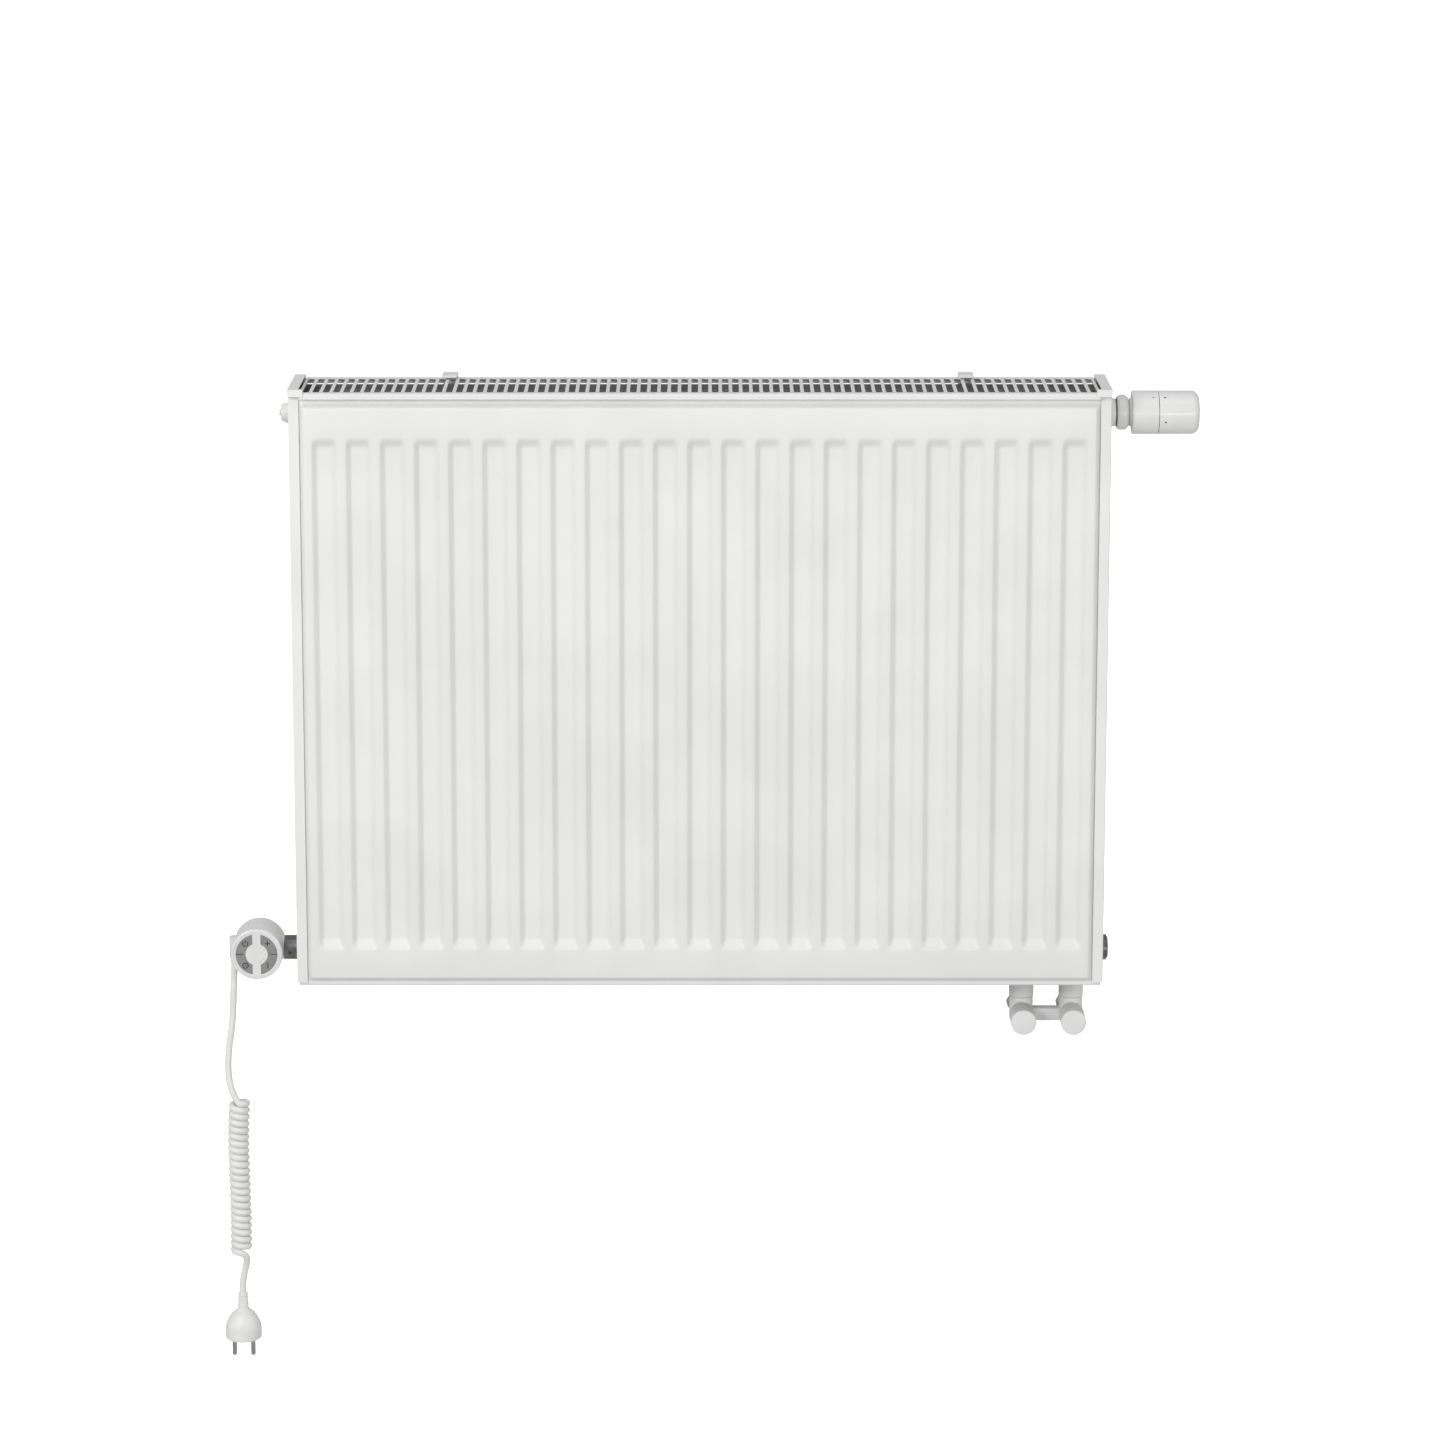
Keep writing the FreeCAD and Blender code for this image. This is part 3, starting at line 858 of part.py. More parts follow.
WALL = "(depth + wall_gap)"
RAIL_FRONT = "(depth + rail_gap)"
CATCH_FRONT = "(depth + catch_back_gap)"
CATCH_BACK = "(%s + catch_sheet)" % CATCH_FRONT
CATCH_PLATE = (CATCH_FRONT, CATCH_BACK)
SPRING_MIDDLE = "(%s + catch_seat/2 + spring_back)" % CATCH_BACK
LIP_BACK = "(depth - 2*%s)" % WELD
LIP_FRONT = "(%s - arm_gap)" % LIP_BACK
ARM_BOTTOM = "(-height/2 - arm_drop)"
GUIDE = "(height/2 - guide_inset)"
CATCH_TOP = "(height/2 + catch_gap)"
CATCH_BOTTOM = "(%s - catch_length)" % CATCH_TOP
feet = []
for name, side in (("left", -1), ("right", 1)):
    x = "(bracket_offset + %d*bracket_spacing/2)" % side
    outside = (x + " - rail_width/2", x + " + rail_width/2")
    inside = (x + " - rail_width/2 + rail_sheet", x + " + rail_width/2 - rail_sheet")
    low, high = "(-height/2 - rail_bottom_inset)", "(height/2 - rail_top_inset)"
    channel = block("rail_channel_" + name, outside, (RAIL_FRONT, WALL), (low, high))
    hollow = block("rail_hollow_" + name, inside,
                   ("%s - %d" % (RAIL_FRONT, PAST), WALL + " - rail_sheet"),
                   ("%s - %d" % (low, PAST), "%s + %d" % (high, PAST)))
    arm = block("rail_arm_" + name, outside, (LIP_FRONT, WALL), (ARM_BOTTOM, ARM_BOTTOM + " + arm_sheet"))
    lip = block("rail_lip_" + name, outside, (LIP_FRONT, LIP_BACK), (ARM_BOTTOM, "-height/2 + lip_top"))
    guide = block("rail_guide_" + name, outside, (RAIL_FRONT, WALL), (GUIDE, GUIDE + " + rail_sheet"))
    window = block("rail_window_" + name,
                   (x + " - catch_width/2 - catch_clearance", x + " + catch_width/2 + catch_clearance"),
                   (CATCH_FRONT + " - catch_clearance", CATCH_BACK + " + catch_clearance"),
                   ("%s - %d" % (GUIDE, PAST), "%s + rail_sheet + %d" % (GUIDE, PAST)))
    screws = [rod("rail_screw_%s_%d" % (name, end), "-Y",
                  (x, "(%s + %d)" % (WALL, PAST), "(%d*screw_spacing/2)" % end), "screw_hole_radius",
                  "rail_sheet + 2*%d" % PAST) for end in (-1, 1)]
    rail = fuse("rail_frame_" + name, cut("rail_profile_" + name, channel, hollow), arm, lip, guide)
    node(cut("bracket_rail_" + name, rail, window, *screws), "bracket_rail_" + name)
    strip = (x + " - catch_width/2", x + " + catch_width/2")
    node(fuse("bracket_catch_" + name,
              block("catch_plate_" + name, strip, CATCH_PLATE, (CATCH_BOTTOM, CATCH_TOP)),
              block("catch_hook_" + name, strip, ("depth - catch_reach", CATCH_BACK),
                    (CATCH_TOP, CATCH_TOP + " + catch_sheet")),
              block("catch_seat_" + name, strip, (CATCH_FRONT, CATCH_BACK + " + catch_seat"),
                    (CATCH_BOTTOM, CATCH_BOTTOM + " + catch_sheet"))), "bracket_catch_" + name)
    node(spring("bracket_spring_" + name, (x, SPRING_MIDDLE, "(%s + catch_sheet)" % CATCH_BOTTOM),
                "spring_radius", "spring_wire/2", "spring_pitch",
                "(%s - %s - catch_sheet)" % (GUIDE, CATCH_BOTTOM)), "bracket_spring_" + name)
    foot = block("foot_block_" + name, (x + " - foot_width/2", x + " + foot_width/2"),
                 (LIP_BACK + " + foot_margin", "depth - foot_back_gap"),
                 (ARM_BOTTOM + " + arm_sheet", "-height/2 + foot_top"))
    groove = block("foot_groove_" + name,
                   ("%s - foot_width/2 - %d" % (x, PAST), "%s + foot_width/2 + %d" % (x, PAST)),
                   ("depth - %s - sheet_thickness - foot_clearance" % WELD,
                    "depth - %s + sheet_thickness + foot_clearance" % WELD),
                   ("-height/2", "-height/2 + foot_top + %d" % PAST))
    feet.append(cut("bracket_foot_" + name, foot, groove))
group = doc.addObject("Part::Compound", "bracket_feet")
group.Links = feet
node(group, "bracket_feet")


# ---- mains lead: a hanging stretch, its curl, a short tail and the plug ----

def size(name):
    return float(getattr(sheet, name))


def hanging(route):
    """Points of a route in millimetres, given as (left of the boss axis, behind, below the hub)."""
    cover = size("width")/2 + size("cover_gap") + size("cover_sheet")
    collar_face = cover + size("seat_gap") + size("collar_length")
    boss = -collar_face - size("turn_gap") - 2*size("drum_radius") + size("boss_inset")
    hub = -size("height")/2 + size("hub_inset")
    return [Vector(boss - left - size("bracket_offset"), size("depth")/2 + behind - size("depth")
                   - size("wall_gap"), hub - below) for left, behind, below in route]


def tube(label, route, radius):
    """A round tube along straight runs joined by the largest tangent arcs that the runs allow."""
    edges, radii, start = [], [], route[0]
    for before, corner, after in zip(route, route[1:], route[2:]):
        inward, outward = (before - corner).normalize(), (after - corner).normalize()
        turn = math.pi - inward.getAngle(outward)
        reach = 0.45*min((before - corner).Length, (after - corner).Length)
        bend = reach/math.tan(turn/2)
        radii.append(round(bend, 1))
        into, out = corner + inward*reach, corner + outward*reach
        towards = (inward + outward).normalize()
        middle = corner + towards*(bend/math.cos(turn/2) - bend)
        edges += [Part.LineSegment(start, into).toShape(), Part.Arc(into, middle, out).toShape()]
        start = out
    edges.append(Part.LineSegment(start, route[-1]).toShape())
    path = Part.Wire(edges)
    disc = Part.Wire([Part.Circle(route[0], route[1] - route[0], radius).toShape()])
    solid = path.makePipeShell([disc], True, False)
    expected = math.pi*radius**2*path.Length
    print(label, "length %.1f" % path.Length, "radii", radii, "volume ratio %.4f" % (solid.Volume/expected))
    piece = doc.addObject("Part::Feature", label)
    piece.Shape = solid
    return node(piece, label)


LEAD = [(0, 0, 6), (1.6, 0, 30), (2.6, 0, 56), (4.2, 0, 82), (8.4, 0, 107), (9.4, 0, 130), (3.8, 0, 149),
        (-2.5, 0, 162)]
CURL = [(-1.5, 0, 162), (0.5, 0, 201), (-0.4, 0, 242), (-1.2, 0, 283), (-0.7, 0, 321)]
TAIL = [(-0.7, 0, 321), (-1.4, 0, 339), (-2.0, 0, 358), (-1.4, 0, 376)]
tube("cord_lead", hanging(LEAD), size("lead_radius"))
tube("cord_curl", hanging(CURL), size("curl_radius"))
tube("cord_tail", hanging(TAIL), size("lead_radius"))

PLUG_X = "(%s + plug_right)" % BOSS_X
NECK_END = "(plug_neck_radius + plug_neck_taper)"
node(turned("plug_body", "-Z", (PLUG_X, MIDDLE, "(-%s - plug_below)" % HUB), [
    ("lead_radius", "0"), ("plug_neck_radius", "0"), (NECK_END, "plug_neck"),
    ("plug_radius", "plug_neck + plug_taper"), ("plug_radius", "plug_length"), ("0", "plug_length"),
    ("0", "plug_neck"), ("lead_radius", "plug_neck")], round_top="plug_rounding"), "plug_body")
pins = []
for number, side in enumerate((-1, 1)):
    pin_at = ("(%s + %d*pin_pair_spacing/2)" % (PLUG_X, side), MIDDLE,
              "(-%s - plug_below - plug_length)" % HUB)
    pins.append(turned("plug_pin_%d" % number, "-Z", pin_at, [
        ("0", "0"), ("plug_pin_radius", "0"), ("plug_pin_radius", "plug_pin_length"),
        ("0", "plug_pin_length")], round_top="plug_pin_rounding"))
group = doc.addObject("Part::Compound", "plug_pins")
group.Links = pins
node(group, "plug_pins")


# ---- checks and export ----

doc.recompute()
for item in doc.Objects:
    if "Invalid" in item.State or "Error" in item.State:
        raise RuntimeError("%s did not recompute: %s" % (item.Label, item.State))
for item in nodes:
    if item.Shape.isNull() or not item.Shape.isValid():
        raise RuntimeError("%s has no valid shape" % item.Label)
for item in nodes:
    item.Shape.exportStep("parts/%s.step" % item.Label)
print(len(nodes), "sub-parts written")
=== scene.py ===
import bmesh
import bpy
import json
import math
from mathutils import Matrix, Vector


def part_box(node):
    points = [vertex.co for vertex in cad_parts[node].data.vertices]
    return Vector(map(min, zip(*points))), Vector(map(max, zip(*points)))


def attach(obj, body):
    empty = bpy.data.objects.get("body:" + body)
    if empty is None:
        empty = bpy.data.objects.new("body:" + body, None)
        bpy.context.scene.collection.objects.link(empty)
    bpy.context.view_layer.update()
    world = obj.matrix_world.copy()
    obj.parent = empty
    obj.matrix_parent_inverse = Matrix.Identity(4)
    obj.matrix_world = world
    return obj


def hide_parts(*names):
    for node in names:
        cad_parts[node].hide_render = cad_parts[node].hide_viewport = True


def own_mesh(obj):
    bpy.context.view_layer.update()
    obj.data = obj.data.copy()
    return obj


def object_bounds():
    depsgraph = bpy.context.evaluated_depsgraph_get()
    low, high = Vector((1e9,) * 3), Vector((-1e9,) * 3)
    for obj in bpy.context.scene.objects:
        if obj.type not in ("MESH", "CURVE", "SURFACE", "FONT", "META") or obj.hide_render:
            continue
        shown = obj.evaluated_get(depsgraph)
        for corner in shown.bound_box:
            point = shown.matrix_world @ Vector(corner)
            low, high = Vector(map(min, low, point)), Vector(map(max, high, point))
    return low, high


# A white panel radiator with its valve head, heating element, curly lead and H-valve.
# Places come from the frame, in metres. Sizes of details are in millimetres and are multiplied by MM.

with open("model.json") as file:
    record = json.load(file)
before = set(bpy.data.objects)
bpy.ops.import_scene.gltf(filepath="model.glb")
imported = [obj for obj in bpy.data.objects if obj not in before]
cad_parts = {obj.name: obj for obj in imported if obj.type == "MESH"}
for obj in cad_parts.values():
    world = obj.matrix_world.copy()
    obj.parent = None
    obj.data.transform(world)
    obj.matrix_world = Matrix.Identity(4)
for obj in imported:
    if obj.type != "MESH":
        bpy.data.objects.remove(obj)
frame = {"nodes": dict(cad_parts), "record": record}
cad_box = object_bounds()
MM = 0.001
UP = Vector((0, 0, 1))


def middle(node):
    low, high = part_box(node)
    return (low + high)/2


# ---- finishes ----

def linear(code):
    """A hex colour in sRGB as linear RGBA."""
    parts = [int(code[i:i + 2], 16)/255 for i in (1, 3, 5)]
    return [p/12.92 if p <= 0.04045 else ((p + 0.055)/1.055)**2.4 for p in parts] + [1]


def add(tree, kind, settings=(), values=(), links=()):
    """Add a node with its settings, its sockets' values and the sockets that feed it."""
    item = tree.nodes.new(kind)
    for name, value in dict(settings).items():
        setattr(item, name, value)
    for name, value in dict(values).items():
        item.inputs[name].default_value = value
    for name, socket in dict(links).items():
        tree.links.new(socket, item.inputs[name])
    return item


def finish(name, colour, roughness, **sockets):
    """A material of one shader, with its colour, roughness and other constant values set on it."""
    material = bpy.data.materials.new(name)
    material.use_nodes = True
    tree = material.node_tree
    shader = tree.nodes["Principled BSDF"]
    shader.inputs["Base Color"].default_value = linear(colour)
    shader.inputs["Roughness"].default_value = roughness
    for socket, value in sockets.items():
        shader.inputs[socket.replace("_", " ")].default_value = value
    return material, tree, shader


def grain(tree, size, detail=2.0, stretch=(1, 1, 1)):
    """Noise whose spots are about size millimetres wide, longer where stretch is above 1."""
    place = add(tree, "ShaderNodeTexCoord").outputs["Object"]
    scaled = add(tree, "ShaderNodeMapping", values={"Scale": [1/(size*MM*s) for s in stretch]},
                 links={"Vector": place})
    return add(tree, "ShaderNodeTexNoise", values={"Scale": 1.0, "Detail": detail},
               links={"Vector": scaled.outputs["Vector"]}).outputs["Fac"]


def tint(tree, shader, pattern, light, dark, low=0.35, high=0.65):
    """Let the colour wander between two close shades."""
    ramp = add(tree, "ShaderNodeValToRGB", links={"Fac": pattern})
    for stop, place, code in zip(ramp.color_ramp.elements, (low, high), (dark, light)):
        stop.position = place
        stop.color = linear(code)
    tree.links.new(ramp.outputs["Color"], shader.inputs["Base Color"])


def gloss(tree, shader, pattern, low, high):
    """Let the roughness wander between two values."""
    span = add(tree, "ShaderNodeMapRange", values={"To Min": low, "To Max": high}, links={"Value": pattern})
    tree.links.new(span.outputs["Result"], shader.inputs["Roughness"])


def relief(tree, shader, pattern, height, strength=1.0):
    """Raise the surface by up to height millimetres where the pattern is light."""
    bump = add(tree, "ShaderNodeBump", values={"Strength": strength, "Distance": height*MM},
               links={"Height": pattern})
    tree.links.new(bump.outputs["Normal"], shader.inputs["Normal"])


def powder_coat():
    """Polyester powder coat on steel: an even white with a faint orange peel that breaks up reflections."""
    material, tree, shader = finish("powder_coated_steel", "#EFEFEE", 0.38, Coat_Weight=0.15,
                                    Coat_Roughness=0.2)
    tint(tree, shader, grain(tree, 90), "#F2F2F1", "#EDEDEC")
    gloss(tree, shader, grain(tree, 30), 0.34, 0.44)
    # The real peel is about 1 mm across, too fine to show, so it is drawn at 4 mm.
    relief(tree, shader, grain(tree, 4, detail=1), 0.02)
    return material


def grey_primer():
    """Painted shade: a dull dark grey on the steel inside the casing, standing in for the shade there."""
    material, tree, shader = finish("painted_shade_grey", "#7B7C7E", 0.7)
    tint(tree, shader, grain(tree, 20), "#808183", "#767779")
    gloss(tree, shader, grain(tree, 5), 0.62, 0.78)
    return material


def polished_abs():
    """ABS from a polished mould, as on the knob: a clean white with a bright, narrow gloss."""
    material, tree, shader = finish("polished_abs", "#EAEAE9", 0.14, IOR=1.53)
    tint(tree, shader, grain(tree, 25), "#ECECEB", "#E8E8E7")
    gloss(tree, shader, grain(tree, 8), 0.11, 0.19)
    return material


def satin_abs():
    """Injection-moulded ABS: a clean white with a fine satin grain, a little softer than the steel's coat."""
    material, tree, shader = finish("moulded_abs", "#E9E9E8", 0.3, IOR=1.53, Coat_Weight=0.2,
                                    Coat_Roughness=0.18)
    tint(tree, shader, grain(tree, 25), "#EBEBEA", "#E7E7E6")
    gloss(tree, shader, grain(tree, 6), 0.26, 0.36)
    # Spark grain of 0.2 mm, drawn at 1 mm.
    relief(tree, shader, grain(tree, 1, detail=1), 0.006)
    return material


def matt_abs():
    """The same ABS with a coarser grain, as on caps and keypad plates, which shine less."""
    material, tree, shader = finish("textured_abs", "#E8E8E7", 0.5, IOR=1.53)
    tint(tree, shader, grain(tree, 15), "#EAEAE9", "#E5E5E4")
    gloss(tree, shader, grain(tree, 5), 0.45, 0.58)
    relief(tree, shader, grain(tree, 1.2, detail=1), 0.012)
    return material


def soft_pvc():
    """Extruded PVC on the lead: a warm white, satin, with faint die lines along it."""
    material, tree, shader = finish("extruded_pvc", "#F0F0EE", 0.42, IOR=1.53)
    tint(tree, shader, grain(tree, 12), "#F2F2F0", "#ECECEA")
    gloss(tree, shader, grain(tree, 4), 0.38, 0.5)
    relief(tree, shader, grain(tree, 1.5, stretch=(1, 1, 8)), 0.01)
    return material


def grey_silicone():
    """Moulded silicone rubber: a mid grey, dull, with a fine bloom."""
    material, tree, shader = finish("silicone_rubber", "#8F8F90", 0.62, IOR=1.41, Sheen_Weight=0.15,
                                    Sheen_Roughness=0.4)
    tint(tree, shader, grain(tree, 4), "#949495", "#8A8A8B")
    relief(tree, shader, grain(tree, 0.8, detail=1), 0.01)
    return material


def turned_metal(name, light, dark, low, high, mark=1.0, stretch=(1, 30, 30)):
    """A metal with fine marks round it from turning or drawing; mark is their spacing in millimetres."""
    material, tree, shader = finish(name, light, (low + high)/2, Metallic=1.0)
    tint(tree, shader, grain(tree, 6), light, dark)
    gloss(tree, shader, grain(tree, mark, stretch=stretch), low, high)
    relief(tree, shader, grain(tree, mark, detail=1, stretch=stretch), 0.01)
    return material


def zinc_plate():
    """Zinc plated steel: a cool grey broken into faint patches by the passivation."""
    material, tree, shader = finish("zinc_plated_steel", "#B9BABB", 0.4, Metallic=1.0)
    place = add(tree, "ShaderNodeTexCoord").outputs["Object"]
    patch = add(tree, "ShaderNodeTexVoronoi", values={"Scale": 1/(4*MM)}, links={"Vector": place})
    tint(tree, shader, patch.outputs["Distance"], "#C4C5C6", "#A9AAAC", low=0.1, high=0.8)
    gloss(tree, shader, grain(tree, 3), 0.32, 0.5)
    relief(tree, shader, grain(tree, 0.8), 0.008)
    return material


def black_rubber():
    """Moulded nitrile rubber: near black and dull."""
    material, tree, shader = finish("nitrile_rubber", "#1B1B1B", 0.7)
    tint(tree, shader, grain(tree, 2), "#202020", "#151515")
    return material


def board_laminate():
    """Glass laminate under a green solder mask, with the weave faintly printed through."""
    material, tree, shader = finish("board_laminate", "#1E5A36", 0.35)
    tint(tree, shader, grain(tree, 1, stretch=(6, 1, 1)), "#236540", "#184C2C")
    return material


def grey_nylon():
    """Moulded glass-filled nylon: a mid grey, matt, with a slight mottle."""
    material, tree, shader = finish("filled_nylon", "#9A9A98", 0.55)
    tint(tree, shader, grain(tree, 5), "#A1A19F", "#929290")
    relief(tree, shader, grain(tree, 1), 0.02)
    return material


def printing_ink(code):
    """Pad-printed ink: thin, flat and a little uneven at its edges."""
    material, tree, shader = finish("printing_ink_" + code[1:], code, 0.5)
    gloss(tree, shader, grain(tree, 0.8), 0.42, 0.6)
    return material


POWDER = powder_coat()
# Painted shade: the dark grey for the steel inside the casing and the rear panel's top rim.
PRIMER = grey_primer()
POLISHED_ABS = polished_abs()
ABS = satin_abs()
MATT_ABS = matt_abs()
PVC = soft_pvc()
SILICONE = grey_silicone()
NICKEL = turned_metal("black_nickel_plate", "#8A8A8C", "#707072", 0.24, 0.42)
STEEL_WIRE = turned_metal("drawn_spring_wire", "#8C8D90", "#77787B", 0.25, 0.4, mark=0.6)
STAINLESS = turned_metal("drawn_stainless_tube", "#BFC0C1", "#AEAFB1", 0.2, 0.34, stretch=(30, 1, 1))
BRASS = turned_metal("machined_brass", "#CDA45C", "#B48A45", 0.2, 0.35)
BARE_STEEL = turned_metal("pickled_steel_tube", "#9B9C9E", "#818285", 0.35, 0.55, stretch=(1, 1, 30))
SPUN_METAL = turned_metal("spun_aluminium", "#CFD0D2", "#BDBEC0", 0.25, 0.4)
ZINC = zinc_plate()
RUBBER = black_rubber()
LAMINATE = board_laminate()
NYLON = grey_nylon()
DARK_INK = printing_ink("#505052")
# The black print on the keys, also used as painted shade along the top keys' lower edges.
BLACK_INK = printing_ink("#29292B")
PALE_INK = printing_ink("#C9C9CA")

FINISHES = {
    "white_powder_coat": POWDER, "grey_primer": PRIMER, "white_abs": ABS, "white_pvc": PVC,
    "grey_silicone": SILICONE, "dark_nickel": NICKEL, "zinc_steel": ZINC, "spring_steel": STEEL_WIRE,
    "stainless": STAINLESS, "brass": BRASS, "plain_steel": BARE_STEEL, "black_rubber": RUBBER,
    "board_laminate": LAMINATE, "bellows_metal": SPUN_METAL, "grey_nylon": NYLON,
}


def paint(piece, material):
    piece.data.materials.clear()
    piece.data.materials.append(material)


# The parts inside the casing come in the grey_primer slot, and so get the painted shade grey.
for part in frame["record"]["subparts"]:
    paint(frame["nodes"][part["node"]], FINISHES[part["material_slot"]])


# ---- mesh tools ----

def piece_from(name, corners, faces, material, body, slot, *stands_for):
    """A new smooth-shaded piece, built in the frame's own axes, that rides on a body."""
    mesh = bpy.data.meshes.new(name)
    mesh.from_pydata([tuple(corner) for corner in corners], [], faces)
    mesh.validate()
    mesh.shade_smooth()
    piece = bpy.data.objects.new(name, mesh)
    bpy.context.scene.collection.objects.link(piece)
    mesh.materials.append(material)
    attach(piece, body)
    if stands_for:
        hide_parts(*stands_for)
    return piece


def soften(piece, width, angle=35):
    """Round a piece's sharp edges, in millimetres."""
    weld = piece.modifiers.new("join_corners", "WELD")
    weld.merge_threshold = 0.001*MM
    bevel = piece.modifiers.new("round_edges", "BEVEL")
    bevel.width = width*MM
    bevel.segments = 3
    bevel.limit_method = "ANGLE"
    bevel.angle_limit = math.radians(angle)
    bevel.harden_normals = True
    bevel.use_clamp_overlap = True
    return piece


def rounded(outline, steps=6):
    """An outline of (radius, along, rounding) corners with its corners rounded off."""
    points = []
    for i, (radius, along, rounding) in enumerate(outline):
        corner = Vector((radius, along))
        if not rounding:
            points.append(corner)
            continue
        before, after = Vector(outline[i - 1][:2]), Vector(outline[(i + 1) % len(outline)][:2])
        start = corner + (before - corner).normalized()*rounding
        end = corner + (after - corner).normalized()*rounding
        # A circle's quarter as a rational curve, so that the rounding is a true arc at a right angle.
        for step in range(steps + 1):
            share = step/steps
            weights = ((1 - share)**2, math.sqrt(2)*share*(1 - share), share**2)
            point = (start*weights[0] + corner*weights[1] + end*weights[2])/sum(weights)
            points.append(point)
    return points


def lathe(name, outline, base, axis, material, body, slot, *stands_for, segments=96):
    """Turn an outline of (radius, along, rounding) corners, in millimetres, about an axis from base."""
    points = rounded(outline)
    turn = axis.to_track_quat("Z", "Y").to_matrix()
    corners, rings = [], []
    for radius, along in points:
        count = segments if radius > 1e-6 else 1
        rings.append(range(len(corners), len(corners) + count))
        for k in range(count):
            angle = 2*math.pi*k/segments
            corners.append(base + turn @ Vector((radius*math.cos(angle), radius*math.sin(angle), along))*MM)
    faces = []
    closed = points[0].x > 1e-6
    for here, there in zip(rings, rings[1:] + (rings[:1] if closed else [])):
        for k in range(segments):
            loop = [here[k % len(here)], here[(k + 1) % len(here)],
                    there[(k + 1) % len(there)], there[k % len(there)]]
            faces.append([v for i, v in enumerate(loop) if v not in loop[:i]])
    piece = piece_from(name, corners, faces, material, body, slot, *stands_for)
    turn_outwards(piece)
    return crease(piece)


def turn_outwards(piece):
    """Make every face of a closed mesh look outwards."""
    work = bmesh.new()
    work.from_mesh(piece.data)
    bmesh.ops.recalc_face_normals(work, faces=work.faces)
    work.to_mesh(piece.data)
    work.free()


def crease(piece, angle=30):
    """Shade a piece smooth, with sharp edges where its faces meet at more than an angle."""
    piece.data.set_sharp_from_angle(angle=math.radians(angle))
    return piece


# ---- pressed panels ----

RECESS_PITCH, RECESS_HALF, RECESS_FLANK = 33.333, 12.5, 4.5
RECESS_COUNT = 23
RECESS_TOP_INSET, RECESS_BOTTOM_INSET, RECESS_END_FLANK = 39.5, 39.0, 8.0
PRESS_DEPTH, SHEET = 6.5, 1.25
RIM_SIDE, RIM_END, RIM_FLANK = 9.0, 5.0, 4.0
FLANK_ROUNDING, END_ROUNDING, RIM_ROUNDING = 1.3, 2.5, 1.4
END_STOPS = 13
LONG_RUN_STOPS = [-150, 0, 150]


def flank(distance, width, rounding):
    """How far up a pressed flank a point is, from 0 to 1, with both its bends rounded."""
    def rise(d):
        if abs(d) < rounding:
            return (d + rounding)**2/(4*rounding)
        return max(d, 0)
    return (rise(distance) - rise(distance - width))/width


def flank_stops(start, width, rounding, inward, count=9):
    """Places across a flank that catch its bends."""
    reach = width + 2*rounding
    return [start + inward*(reach*i/(count - 1) - rounding) for i in range(count)]


def pressed_panel(name, node, facing):
    """A pressed sheet: a raised field with rounded flanks, and a row of upright recesses in it."""
    low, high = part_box(node)
    half, middle_x = (high.x - low.x)/2/MM, (low.x + high.x)/2
    bottom, top = low.z/MM, high.z/MM
    recess_low, recess_high = bottom + RECESS_BOTTOM_INSET, top - RECESS_TOP_INSET
    centres = [RECESS_PITCH*(i - (RECESS_COUNT - 1)/2) for i in range(RECESS_COUNT)]
    across = [-half, half, -half + RIM_SIDE/2, half - RIM_SIDE/2]
    across += [centre + RECESS_PITCH/2 for centre in centres[:-1]] + centres
    for side in (-1, 1):
        across += flank_stops(side*(half - RIM_SIDE), RIM_FLANK, RIM_ROUNDING, -side)
        for centre in centres:
            across += flank_stops(centre + side*RECESS_HALF, RECESS_FLANK, FLANK_ROUNDING, -side)
    upward = [bottom, top, bottom + RIM_END/3, top - RIM_END/3] + LONG_RUN_STOPS
    upward += flank_stops(bottom + RIM_END, RIM_FLANK, RIM_ROUNDING, 1)
    upward += flank_stops(top - RIM_END, RIM_FLANK, RIM_ROUNDING, -1)
    upward += flank_stops(recess_low, RECESS_END_FLANK, END_ROUNDING, 1, END_STOPS)
    upward += flank_stops(recess_high, RECESS_END_FLANK, END_ROUNDING, -1, END_STOPS)
    across, upward = sorted(across), sorted(upward)
    front = low.y if facing < 0 else high.y
    corners = []
    for z in upward:
        field_z = flank(min(z - bottom, top - z) - RIM_END, RIM_FLANK, RIM_ROUNDING)
        ends = flank(min(z - recess_low, recess_high - z), RECESS_END_FLANK, END_ROUNDING)
        for x in across:
            field_x = flank(half - abs(x) - RIM_SIDE, RIM_FLANK, RIM_ROUNDING)
            nearest = min(abs(x - centre) for centre in centres)
            recess = ends*flank(RECESS_HALF - nearest, RECESS_FLANK, FLANK_ROUNDING)
            height = PRESS_DEPTH*(field_x*field_z - recess)
            corners.append((middle_x + x*MM, front - facing*(PRESS_DEPTH - height)*MM, z*MM))
    wide = len(across)
    faces = [(j*wide + i, j*wide + i + 1, (j + 1)*wide + i + 1, (j + 1)*wide + i)
             for j in range(len(upward) - 1) for i in range(wide - 1)]
    if facing > 0:
        faces = [face[::-1] for face in faces]
    panel = piece_from(name, corners, faces, POWDER, "radiator", "white_powder_coat", node)
    sheet = panel.modifiers.new("sheet", "SOLIDIFY")
    sheet.thickness = SHEET*MM
    sheet.offset = -1
    return panel


pressed_panel("front_panel", "front_panel_outer_sheet", -1)
rear_panel = pressed_panel("rear_panel", "rear_panel_outer_sheet", 1)
# Painted shade: the rear panel's top rim, under the grille, takes the dark grey, standing for the shade seen
# through the grille's slots.
rear_panel.data.materials.append(PRIMER)
RIM_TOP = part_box("rear_panel_outer_sheet")[1].z - (RIM_END + RIM_FLANK)*MM
for face in rear_panel.data.polygons:
    if face.center.z > RIM_TOP:
        face.material_index = 1

